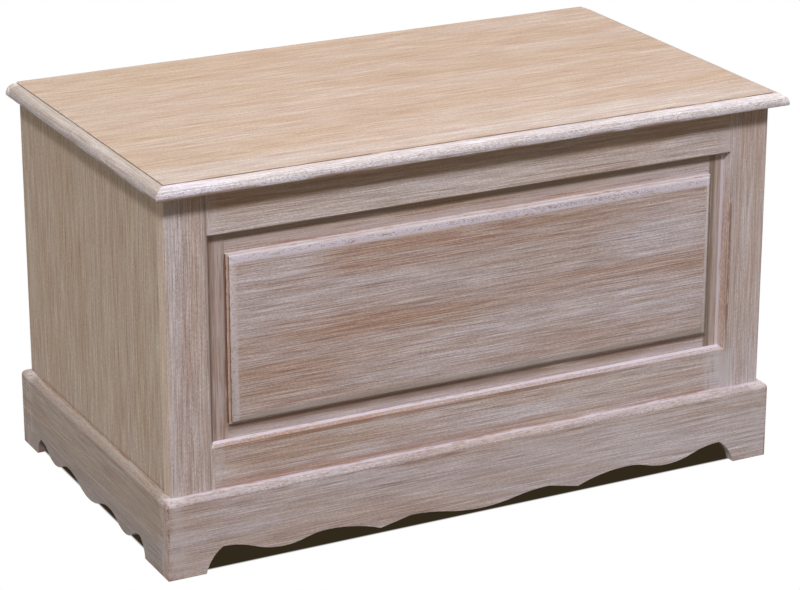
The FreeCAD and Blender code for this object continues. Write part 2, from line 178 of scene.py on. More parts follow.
class Nodes:
    """A tree of shader nodes, which grows as they are added.

    Attributes:
        mix_inputs: Numbers of a mix node's inputs: share, colour beneath and colour on top.
        mix_output: Number of its output for the mixed colour.
    """

    mix_inputs = (0, 6, 7)
    mix_output = 2

    def __init__(self, tree: bpy.types.NodeTree) -> None:
        """Takes up a tree.

        Args:
            tree: The tree that nodes are added to.
        """
        self.nodes = tree.nodes
        self.links = tree.links

    def feed(self, socket: Socket, source: Source) -> None:
        """Joins a socket to another one, or sets its own value."""
        if isinstance(source, bpy.types.NodeSocket):
            self.links.new(source, socket)
        else:
            socket.default_value = source

    def node(self, kind: str, inputs: dict[Union[int, str], Source], **settings: object) -> bpy.types.Node:
        """Adds a node.

        Args:
            kind: Blender's name of the node type.
            inputs: What each named or numbered input takes.
            **settings: Values of the node's own options.

        Returns:
            The new node.
        """
        node = self.nodes.new(kind)
        for option, value in settings.items():
            setattr(node, option, value)
        for name, source in inputs.items():
            self.feed(node.inputs[name], source)
        return node

    def math(self, operation: str, first: Source, second: Source = 0.0) -> Socket:
        """Adds a sum of two numbers and returns its result."""
        return self.node("ShaderNodeMath", {0: first, 1: second}, operation=operation).outputs[0]

    def times(self, *sources: Source) -> Socket:
        """Multiplies numbers together and returns the product."""
        product = sources[0]
        for source in sources[1:]:
            product = self.math("MULTIPLY", product, source)
        return product

    def between(self, source: Source, low: float, high: float) -> Socket:
        """Returns 0 below low, 1 above high and a smooth step between them."""
        inputs = {"Value": source, "From Min": low, "From Max": high}
        return self.node("ShaderNodeMapRange", inputs, interpolation_type="SMOOTHSTEP").outputs[0]

    def scaled(self, source: Source, low: float, high: float) -> Socket:
        """Returns a number from 0 to 1 as one from low to high."""
        return self.node("ShaderNodeMapRange", {"Value": source, "To Min": low, "To Max": high}).outputs[0]

    def blend(self, share: Source, under: Source, over: Source) -> Socket:
        """Lays one colour over another.

        Args:
            share: How much of the upper colour shows, from 0 to 1.
            under: Colour beneath.
            over: Colour on top.

        Returns:
            The mixed colour.
        """
        inputs = dict(zip(self.mix_inputs, (share, under, over)))
        return self.node("ShaderNodeMix", inputs, data_type="RGBA").outputs[self.mix_output]

    def seen_directly(self) -> Socket:
        """Returns 1 for rays from the camera, from a reflection or through glass, and 0 for the others."""
        path = self.node("ShaderNodeLightPath", {})
        seen = self.math("MAXIMUM", path.outputs["Is Camera Ray"], path.outputs["Is Glossy Ray"])
        return self.math("MAXIMUM", seen, path.outputs["Is Transmission Ray"])


class Paint(Nodes):
    """The nodes of one material, added in the order in which a finish is laid on.

    Attributes:
        lean: How far noise leans about the axes across its grain, in radians.
        twist: How far it is turned about its grain, in radians.
        seed_shift: How far a seed of 1 moves noise along X, Y and Z.
        finer_weight: Weight of the finer layers of noise.
        looks: Cosines between which a face starts to look to a side.
        broken_edge: Noise that bounds a patch of which nothing is whole.
        whole_drop: How much lower it is for a whole patch.
        feather: Half the range of noise over which a patch breaks off.
    """

    lean = 0.02
    twist = 0.5
    seed_shift = (7.31, 3.17, 5.53)
    finer_weight = 0.55
    looks = (0.5, 0.75)
    broken_edge = 0.72
    whole_drop = 0.44
    feather = 0.06

    def __init__(self, name: str) -> None:
        """Starts a material whose coordinates are the piece's own, in millimetres.

        Args:
            name: Name of the material.
        """
        self.material = bpy.data.materials.new(name)
        self.material.use_nodes = True
        super().__init__(self.material.node_tree)
        self.shader = self.nodes["Principled BSDF"]
        coordinates = self.node("ShaderNodeTexCoord", {})
        self.normal = coordinates.outputs["Normal"]
        inputs = {0: coordinates.outputs["Object"], "Scale": 1 / MM}
        self.place = self.node("ShaderNodeVectorMath", inputs, operation="SCALE").outputs[0]
        split = self.node("ShaderNodeSeparateXYZ", {0: self.place})
        self.along_axis = {axis: split.outputs[axis.value] for axis in Axis}

    def surface(self, colour: Source, roughness: Source, specular: float = 0.5) -> None:
        """Sets the colour of the surface, its roughness and how strongly it mirrors."""
        looks = {"Base Color": colour, "Roughness": roughness, "Specular IOR Level": specular}
        for name, source in looks.items():
            self.feed(self.shader.inputs[name], source)

    def streaks(self, grain: Axis, along: float, across: float, seed: float, detail: float = 2.0) -> Socket:
        """Noise that is drawn out along the grain, leaning a little so that its streaks end apart.

        Args:
            grain: Axis that the streaks follow.
            along: Length of a streak.
            across: Width of a streak.
            seed: Shifts the noise, so that layers and boards differ.
            detail: How many finer layers it has.

        Returns:
            A number that keeps near 0.5.
        """
        scale = [1 / across] * 3
        scale[grain.value] = 1 / along
        turn = [self.lean] * 3
        turn[grain.value] = self.twist
        shift = [seed * step for step in self.seed_shift]
        spread = {"Vector": self.place, "Scale": scale, "Rotation": turn, "Location": shift}
        mapping = self.node("ShaderNodeMapping", spread)
        inputs = {"Vector": mapping.outputs[0], "Scale": 1.0, "Detail": detail,
                  "Roughness": self.finer_weight}
        return self.node("ShaderNodeTexNoise", inputs).outputs[0]

    def shade(self, colour: Source, value: Socket, contrast: float, warmth: float = 0.0) -> Socket:
        """Lightens and darkens a colour, with browner darks and whiter lights.

        Args:
            colour: The colour.
            value: Number near 0.5, where the colour stays.
            contrast: How far it goes at 0 and 1.
            warmth: How much less red changes than green does.

        Returns:
            The changed colour.
        """
        swing = [contrast * (1 - warmth), contrast, contrast * (1 + warmth / 2)]
        inputs = {0: value, 1: [2 * part for part in swing], 2: [1 - part for part in swing]}
        share = self.node("ShaderNodeVectorMath", inputs, operation="MULTIPLY_ADD").outputs[0]
        inputs = {0: colour[:3] if isinstance(colour, tuple) else colour, 1: share}
        return self.node("ShaderNodeVectorMath", inputs, operation="MULTIPLY").outputs[0]

    def facing(self, side: Side) -> Socket:
        """Returns 1 where the surface looks to a side, and 0 where it looks elsewhere."""
        inputs = {0: self.normal, 1: side.value}
        dot = self.node("ShaderNodeVectorMath", inputs, operation="DOT_PRODUCT").outputs["Value"]
        return self.between(dot, *self.looks)

    def inside(self, span: Span) -> Socket:
        """Returns 1 within a span and 0 beyond its soft ends."""
        place = self.along_axis[span.axis]
        if span.both_sides:
            place = self.math("ABSOLUTE", place)
        rising = self.between(place, span.low - span.soft, span.low + span.soft)
        falling = self.between(place, span.high + span.soft, span.high - span.soft)
        return self.math("MULTIPLY", rising, falling)

    def patch(self, ground: Source, patch: Patch, seed: float) -> Socket:
        """Lays a patch over a colour.

        Args:
            ground: Colour beneath.
            patch: The patch.
            seed: Shifts its broken places.

        Returns:
            The colour with the patch on it.
        """
        share: Source = patch.cover
        for span in patch.spans:
            share = self.times(self.inside(span), share)
        if patch.facing:
            share = self.times(self.facing(patch.facing), share)
        if patch.whole < 1:
            breaks = self.streaks(patch.grain, along=patch.along, across=patch.across, seed=seed, detail=3.0)
            edge = self.broken_edge - self.whole_drop * patch.whole
            share = self.times(self.between(breaks, edge - self.feather, edge + self.feather), share)
        return self.blend(share, ground, linear(patch.colour))

    def bump(self, height: Source, strength: float, depth: float) -> None:
        """Raises the surface by a height.

        Args:
            height: Number from 0 to 1.
            strength: How much of it shows.
            depth: Rise of a height of 1.
        """
        inputs = {"Height": height, "Strength": strength, "Distance": depth * MM}
        bump = self.node("ShaderNodeBump", inputs)
        self.feed(self.shader.inputs["Normal"], bump.outputs[0])


@dataclass(frozen=True)
class LimedWood:
    """Open-grained wood, stained brown, brushed with lime and rubbed back.

    Attributes:
        name: Name of the finish.
        grain: Axis of the grain and of the brush.
        seed: Shifts the grain, so that boards differ.
        ground: Rubbed wash, the colour of most of the board.
        cool: Wash where the lime lies thicker.
        stain: Stain that shows through in ribbons.
        lime: Lime caught in the grain and on the arrises.
        stain_cover: How strongly the ribbons show.
        lime_cover: How strongly the lime strokes show.
        fibre: Contrast of the fibres.
        warmth: How much browner dark fibres are than light ones.
        width: How wide the streaks are, 1 for fine grain.
        washes: Broad places of another wash, under the grain.
        patches: Places that differ from the rest, over the grain.
        bare: Side that was never limed, or None.
        bare_wood: Colour of that side.
    """

    name: str
    grain: Axis
    seed: float
    ground: Colour
    cool: Colour
    stain: Colour
    lime: Colour = (238, 231, 231)
    stain_cover: float = 0.6
    lime_cover: float = 0.5
    fibre: float = 0.6
    warmth: float = 0.18
    width: float = 1.0
    washes: tuple[Patch, ...] = ()
    patches: tuple[Patch, ...] = ()
    bare: Optional[Side] = None
    bare_wood: Colour = (212, 186, 154)

    def material(self) -> bpy.types.Material:
        """Builds the material of the finish.

        Returns:
            The material.
        """
        paint = Paint(self.name)
        strands = ((60, 0.85), (240, 2.6), (150, 0.9))
        fibres, lines, strokes = (
            paint.streaks(self.grain, along, across * self.width, seed=self.seed + number, detail=1.0)
            for number, (along, across) in enumerate(strands, start=1)
        )
        pores = paint.streaks(self.grain, along=3.5, across=1.3, seed=self.seed + 8, detail=1.0)
        colour = self.wash(paint)
        for layer, contrast in ((lines, 0.1), (fibres, 1.15), (pores, 0.55)):
            colour = paint.shade(colour, layer, self.fibre * contrast, self.warmth)
        share = paint.times(paint.between(strokes, 0.6, 0.7), self.lime_cover)
        colour = paint.blend(share, colour, linear(self.lime))
        for number, patch in enumerate(self.patches):
            colour = paint.patch(colour, patch, self.seed + PATCH_SEEDS + number)
        colour = self.rub_arrises(paint, colour)
        if self.bare:
            wood = linear(self.bare_wood)
            for layer in (lines, fibres):
                wood = paint.shade(wood, layer, self.fibre / 3)
            colour = paint.blend(paint.facing(self.bare), colour, wood)
        paint.surface(colour, paint.scaled(strokes, 0.5, 0.72), specular=0.35)
        relief = paint.math("ADD", paint.times(fibres, 0.6), paint.times(lines, 0.4))
        paint.bump(relief, strength=0.35, depth=0.4)
        return paint.material

    def wash(self, paint: Paint) -> Socket:
        """Mixes the wash: broad drifts of lime, clouds of stain, places of their own and threads of stain.

        Args:
            paint: Nodes of the finish.

        Returns:
            The colour of the wash.
        """
        drift = paint.streaks(self.grain, along=300, across=34 * self.width, seed=self.seed + 4)
        clouds = paint.streaks(self.grain, along=260, across=13 * self.width, seed=self.seed + 5)
        threads = paint.streaks(self.grain, along=220, across=4 * self.width, seed=self.seed + 6, detail=1.0)
        colour = paint.blend(paint.between(drift, 0.36, 0.64), linear(self.ground), linear(self.cool))
        share = paint.times(paint.between(clouds, 0.42, 0.74), self.stain_cover * 0.85)
        colour = paint.blend(share, colour, linear(self.stain))
        for number, wash in enumerate(self.washes):
            colour = paint.patch(colour, wash, self.seed + WASH_SEEDS + number)
        share = paint.times(paint.between(threads, 0.48, 0.76), self.stain_cover * 0.25)
        return paint.blend(share, colour, linear(self.stain))

    def rub_arrises(self, paint: Paint, colour: Socket) -> Socket:
        """Limes the arrises and rubs them through to the stain in places.

        Args:
            paint: Nodes of the finish.
            colour: Colour of the board so far.

        Returns:
            The colour with rubbed arrises.
        """
        arris = paint.node("ShaderNodeAttribute", {}, attribute_name=ARRIS).outputs["Fac"]
        rubbed = paint.streaks(self.grain, along=60, across=9, seed=self.seed + 7, detail=4.0)
        edge = paint.blend(paint.between(rubbed, 0.45, 0.65), linear(self.lime), linear(self.stain))
        return paint.blend(paint.times(arris, 0.4), colour, edge)


@dataclass(frozen=True)
class Plywood:
    """Bare plywood: a plain face veneer and edges of thin crossed layers.

    Attributes:
        name: Name of the finish.
        grain: Axis of the face veneer's grain.
        through: Axis across the sheet.
        seed: Shifts the grain.
        layer: Thickness of one layer.
        pale: Light wood.
        dark: Dark wood.
    """

    name: str
    grain: Axis
    through: Axis
    seed: float
    layer: float = 3.0
    pale: Colour = (219, 192, 156)
    dark: Colour = (178, 142, 104)

    def material(self) -> bpy.types.Material:
        """Builds the material of the finish.

        Returns:
            The material.
        """
        paint = Paint(self.name)
        cathedral = paint.streaks(self.grain, along=520, across=34, seed=self.seed, detail=1.0)
        rings = paint.math("FRACT", paint.times(cathedral, 16.0))
        rings = paint.between(paint.math("ABSOLUTE", paint.math("SUBTRACT", rings, 0.5)), 0.1, 0.5)
        hairs = paint.streaks(self.grain, along=30, across=0.9, seed=self.seed + 1)
        share = paint.math("ADD", paint.times(rings, 0.35), paint.times(paint.between(hairs, 0.4, 0.75), 0.5))
        face = paint.blend(share, linear(self.pale), linear(self.dark))
        count = paint.math("DIVIDE", paint.along_axis[self.through], 2 * self.layer)
        crossed = paint.between(paint.math("PINGPONG", count, 0.5), 0.22, 0.28)
        edge = paint.blend(paint.times(crossed, 0.75), linear(self.pale), linear(self.dark))
        axes = paint.node("ShaderNodeSeparateXYZ", {0: paint.normal})
        flat = paint.math("ABSOLUTE", axes.outputs[self.through.value])
        colour = paint.blend(paint.between(flat, 0.4, 0.7), edge, face)
        paint.surface(colour, paint.scaled(hairs, 0.55, 0.8), specular=0.3)
        paint.bump(hairs, strength=0.3, depth=0.25)
        return paint.material


@dataclass(frozen=True)
class Softwood:
    """Bare sawn softwood with growth rings and saw marks.

    Attributes:
        name: Name of the finish.
        grain: Axis of the grain.
        seed: Shifts the grain.
        pale: Early wood.
        dark: Late wood.
    """

    name: str
    grain: Axis
    seed: float
    pale: Colour = (226, 196, 150)
    dark: Colour = (182, 134, 86)

    def material(self) -> bpy.types.Material:
        """Builds the material of the finish.

        Returns:
            The material.
        """
        paint = Paint(self.name)
        bend = paint.streaks(self.grain, along=380, across=26, seed=self.seed, detail=1.0)
        rings = paint.math("PINGPONG", paint.times(bend, 14.0), 1.0)
        hairs = paint.streaks(self.grain, along=34, across=1.0, seed=self.seed + 1)
        crosswise = Axis.Z if self.grain is Axis.X else Axis.X
        saw = paint.streaks(crosswise, along=60, across=2.4, seed=self.seed + 2)
        share = paint.math("ADD", paint.times(paint.between(rings, 0.55, 1.0), 0.6), paint.times(hairs, 0.25))
        colour = paint.blend(share, linear(self.pale), linear(self.dark))
        paint.surface(colour, paint.scaled(hairs, 0.6, 0.85), specular=0.25)
        paint.bump(paint.math("ADD", paint.times(hairs, 0.5), paint.times(saw, 0.5)), strength=0.4, depth=0.3)
        return paint.material


@dataclass(frozen=True)
class WornMetal:
    """Plain metal, brushed along one axis and dulled in patches.

    Attributes:
        name: Name of the finish.
        brushed: Axis of the brush marks.
        bright: Clean metal.
        dull: Tarnished metal.
        gloss: Roughness where it is clean.
        matt: Roughness where it is dull.
    """

    name: str
    brushed: Axis
    bright: Colour
    dull: Colour
    gloss: float
    matt: float

    def material(self) -> bpy.types.Material:
        """Builds the material of the finish.

        Returns:
            The material.
        """
        paint = Paint(self.name)
        clouds = paint.streaks(self.brushed, along=14, across=9, seed=3.0, detail=3.0)
        marks = paint.streaks(self.brushed, along=18, across=0.25, seed=4.0)
        dulled = paint.between(clouds, 0.4, 0.68)
        colour = paint.blend(dulled, linear(self.bright), linear(self.dull))
        paint.surface(colour, paint.scaled(dulled, self.gloss, self.matt))
        paint.feed(paint.shader.inputs["Metallic"], 1.0)
        paint.bump(marks, strength=0.2, depth=0.05)
        return paint.material


def pick_only(piece: bpy.types.Object) -> None:
    """Selects one piece and makes it the active one."""
    bpy.ops.object.select_all(action="DESELECT")
    piece.select_set(True)
    bpy.context.view_layer.objects.active = piece


@dataclass(frozen=True)
class Workshop:
    """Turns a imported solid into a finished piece.

    Attributes:
        weld: Points closer than this are one.
        flat_angle: Faces that turn less than this, in degrees, are one face.
        sharp_angle: Edges that turn more than this, in degrees, are arrises.
        steps: Faces across a softened arris.
        smooth_margin: How much further than an arris an edge turns that is shaded sharp, in degrees.
        touch: How near an edge lies to a joint plane that it belongs to.
    """

    weld: float = 0.01
    flat_angle: float = 0.4
    sharp_angle: float = 28.0
    steps: int = 3
    smooth_margin: float = 8.0
    touch: float = 0.05

    def work(self, node: str, soften: float, flush: Sequence[tuple[Axis, float]] = ()) -> bpy.types.Object:
        """Copies a node's solid, joins its triangles, softens its arrises and puts it in the node's place.

        Args:
            node: Name of the node.
            soften: Width of the softened arrises.
            flush: Joint planes, as an axis and a place, whose edges stay sharp.

        Returns:
            The finished piece, riding on the node's body.
        """
        piece = bpy.data.objects.new(f"{node}_worked", frame["nodes"][node].data.copy())
        bpy.context.scene.collection.objects.link(piece)
        piece.data.materials.clear()
        for _ in (BOARD_SLOT, ARRIS_SLOT):
            piece.data.materials.append(None)
        pick_only(piece)
        bpy.ops.mesh.customdata_custom_splitnormals_clear()
        bpy.ops.object.mode_set(mode="EDIT")
        bpy.ops.mesh.select_mode(type="EDGE")
        bpy.ops.mesh.select_all(action="SELECT")
        bpy.ops.mesh.remove_doubles(threshold=self.weld * MM)
        bpy.ops.mesh.dissolve_limited(angle_limit=math.radians(self.flat_angle))
        self.pick_arrises(piece, flush)
        bpy.ops.mesh.bevel(offset=soften * MM, segments=self.steps, affect="EDGES", clamp_overlap=True,
                           material=ARRIS_SLOT)
        bpy.ops.object.mode_set(mode="OBJECT")
        self.mark_arrises(piece)
        self.smooth(piece)
        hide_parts(node)
        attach(piece, body_of(node))
        log.info("%s: %d faces", piece.name, len(piece.data.polygons))
        return piece

    def pick_arrises(self, piece: bpy.types.Object, flush: Sequence[tuple[Axis, float]]) -> None:
        """Selects the outward arrises of a piece in edit mode, apart from those in a joint plane."""
        form = bmesh.from_edit_mesh(piece.data)
        for edge in form.edges:
            edge.select_set(False)
        for edge in form.edges:
            if len(edge.link_faces) == 2 and edge.is_convex:
                sharp = math.degrees(edge.calc_face_angle()) > self.sharp_angle
                edge.select_set(sharp and not self.in_joint(edge, flush))
        form.select_flush_mode()
        bmesh.update_edit_mesh(piece.data)

    def in_joint(self, edge: bmesh.types.BMEdge, flush: Sequence[tuple[Axis, float]]) -> bool:
        """Returns whether both ends of an edge lie in one of the joint planes."""
        return any(
            all(abs(vertex.co[axis.value] / MM - place) < self.touch for vertex in edge.verts)
            for axis, place in flush
        )

    def mark_arrises(self, piece: bpy.types.Object) -> None:
        """Keeps in an attribute which faces are softened arrises, by the slot that the bevel gave them."""
        marks = piece.data.attributes.new(ARRIS, "FLOAT", "FACE")
        for polygon in piece.data.polygons:
            marks.data[polygon.index].value = float(polygon.material_index == ARRIS_SLOT)
            polygon.material_index = BOARD_SLOT
        piece.data.materials.clear()

    def smooth(self, piece: bpy.types.Object) -> None:
        """Shades the rounds smoothly and keeps the wide faces flat."""
        bpy.ops.object.shade_smooth_by_angle(angle=math.radians(self.sharp_angle + self.smooth_margin))
        weighted = piece.modifiers.new("Flat faces", "WEIGHTED_NORMAL")
        weighted.keep_sharp = True
        bpy.ops.object.modifier_apply(modifier=weighted.name)


def body_of(node: str) -> str:
    """Returns the name of the body that carries a node."""
    bodies = frame["record"]["behaviour"]["bodies"]
    return next(body for body, members in bodies.items() if node in members)


workshop = Workshop()


@dataclass
class SubAssembly:
    """A group of pieces that are worked and dressed together.

    Attributes:
        soften: Width of the softened arrises.
        pieces: The finished pieces by node.
    """

    soften: float = 0.7
    pieces: dict[str, bpy.types.Object] = field(default_factory=dict)

    def work(self, *nodes: str, flush: Sequence[tuple[Axis, float]] = ()) -> None:
        """Works nodes into finished pieces.

        Args:
            *nodes: Names of the nodes.
            flush: Joint planes whose edges stay sharp.
        """
        for node in nodes:
            self.pieces[node] = workshop.work(node, self.soften, flush)

    def coat(self, material: bpy.types.Material, *nodes: str) -> None:
        """Gives pieces a material."""
        for node in nodes:
            self.pieces[node].data.materials.append(material)


@dataclass
class Lid(SubAssembly):
    """The lid's panel, its nosings and the battens under it.

    Attributes:
        quirk: Height of the dark line above the nosings, partly painted shade in the quirk and partly a dark
            joint.
        pale_border: Width of the paler border along the front.
        golden_end: Where the golden back left corner ends along X.
        golden_depth: Where it starts and ends along Y.
        grey_end: Where the greyer left end of the top ends.
        bluish_end: Length of the bluish lime at the left of the front nosing.
        thin_stretch: Where the lime of the front nosing is thinner.
        rubbed_height: Height of the rubbed strip along a nosing's lower arris.
        tip: Length of the thick lime at the tips of the nosings.
        corner: Length of the thick lime at the front's right corner.
    """

    soften: float = 0.6
    quirk: float = 0.9
    pale_border: float = 52.0
    golden_end: float = -120.0
    golden_depth: tuple[float, float] = (120.0, 260.0)
    grey_end: float = -300.0
    bluish_end: float = 80.0
    thin_stretch: tuple[float, float] = (-250.0, 200.0)
    rubbed_height: float = 4.0
    tip: float = 12.0
    corner: float = 14.0

    def build(self) -> None:
        """Works the boards of the lid."""
        self.work("lid_panel", "lid_nosing_front", "lid_nosing_left", "lid_nosing_right")
        self.work("lid_batten_left", "lid_batten_right")

    def dress(self) -> None:
        """Finishes the boards of the lid."""
        self.coat(self.panel_finish().material(), "lid_panel")
        self.coat(self.nosing_finish("limed_front_nosing", Axis.X, 31).material(), "lid_nosing_front")
        for number, hand in enumerate(HANDS):
            finish = self.nosing_finish(f"limed_{hand}_nosing", Axis.Y, 35 + number)
            self.coat(finish.material(), f"lid_nosing_{hand}")
        batten = Softwood("softwood_batten", Axis.Y, seed=3).material()
        self.coat(batten, "lid_batten_left", "lid_batten_right")

    def panel_finish(self) -> LimedWood:
        """Returns the golden wash of the top, with a dark line in the quirk above the nosings: painted shade
        and a dark joint.
        """
        low = box_mm("lid_panel")[0]
        nosing_top = box_mm("lid_nosing_front")[1].z
        border = (Span(Axis.Y, low.y, low.y + self.pale_border, soft=20),)
        corner = (Span(Axis.X, low.x, self.golden_end, soft=160), Span(Axis.Y, *self.golden_depth, soft=80))
        left_end = (Span(Axis.X, low.x, self.grey_end, soft=90),)
        groove = (Span(Axis.Z, nosing_top - 1, nosing_top + self.quirk, soft=0.3),)
        washes = (
            Patch((196, 168, 132), 0.35, corner, facing=Side.UP, along=300, across=16, whole=0.7),
            Patch((188, 170, 150), 0.4, left_end, facing=Side.UP, along=260, across=12, whole=0.7),
            Patch((214, 202, 200), 0.55, border, facing=Side.UP, along=220, across=7, whole=0.65),
        )
        # Painted shade: a dark line in the quirk between the panel and the nosings, partly a dark joint.
        line = Patch((104, 80, 66), 0.7, groove, along=34, whole=0.68)
        return LimedWood("limed_lid_panel", Axis.X, seed=20, ground=(200, 175, 155), cool=(205, 184, 171),
                         stain=(184, 152, 130), stain_cover=0.4, lime_cover=0.25, fibre=0.68, warmth=0.32,
                         width=1.3, washes=washes, patches=(line,), bare=Side.DOWN)

    def nosing_finish(self, name: str, grain: Axis, seed: float) -> LimedWood:
        """Returns the thick speckled lime of a nosing, greyer below and rubbed brown along its lower arris.

        Args:
            name: Name of the finish.
            grain: Axis of the nosing.
            seed: Shifts the grain.

        Returns:
            The finish.
        """
        low, high = box_mm("lid_nosing_front")
        below = Span(Axis.Z, low.z - 1, low.z + self.rubbed_height, soft=1)
        waist = Span(Axis.Z, low.z + 1, high.z - 3, soft=2.5)
        lower_half = Span(Axis.Z, low.z, (low.z + high.z) / 2, soft=2)
        patches = (
            Patch((208, 206, 220), 0.4, (lower_half,)),
            Patch((150, 130, 120), 0.4, grain=grain, along=70, across=1.3, whole=0.28),
            Patch((176, 162, 160), 0.35, grain=grain, along=24, across=1.4, whole=0.36),
            Patch((116, 104, 110), 0.5, (waist,), grain=grain, along=3.2, across=1.1, whole=0.38),
            Patch((138, 98, 74), 0.75, (below,), grain=grain, along=110, across=30, whole=0.44),
        )
        if grain is Axis.X:
            return LimedWood(name, grain, seed, ground=(230, 223, 226), cool=(240, 236, 244),
                             stain=(196, 178, 170), stain_cover=0.35, lime_cover=0.6, fibre=0.5,
                             washes=self.length_washes(), patches=patches + self.tips(), bare=Side.DOWN)
        streaks = Patch((126, 112, 106), 0.45, (lower_half,), grain=grain, along=60, across=1.2, whole=0.38)
        return LimedWood(name, grain, seed, ground=(190, 179, 169), cool=(201, 191, 186),
                         stain=(150, 134, 126), stain_cover=0.35, lime_cover=0.6, fibre=0.5,
                         patches=patches + (streaks, *self.tips()), bare=Side.DOWN)

    def length_washes(self) -> tuple[Patch, ...]:
        """Returns how the front nosing's lime changes along it: bluish, then thinner, then rubbed."""
        low, high = box_mm("lid_nosing_front")
        bluish = Span(Axis.X, low.x, low.x + self.bluish_end, soft=30)
        thin = Span(Axis.X, *self.thin_stretch, soft=90)
        rubbed = Span(Axis.X, self.thin_stretch[1], high.x, soft=60)
        return (
            Patch((240, 237, 255), 0.75, (bluish,), along=14, across=2.4, whole=0.8),
            Patch((206, 194, 196), 0.5, (thin,), along=30, across=2.4, whole=0.6),
            Patch((206, 193, 190), 0.35, (rubbed,), along=12, across=2.4, whole=0.45),
        )

    def tips(self) -> tuple[Patch, ...]:
        """Returns the thick lime at the back tips of the side nosings and at the front's right corner."""
        low, high = box_mm("lid_nosing_right")
        back = (Span(Axis.Y, high.y - self.tip, high.y + 1, soft=4),)
        corner = (Span(Axis.X, high.x - self.corner, high.x + 1, soft=4),
                  Span(Axis.Y, low.y, low.y + self.corner, soft=4))
        return tuple(Patch((248, 244, 246), cover, spans, along=7, across=4, whole=0.55)
                     for cover, spans in ((0.8, back), (0.7, corner)))


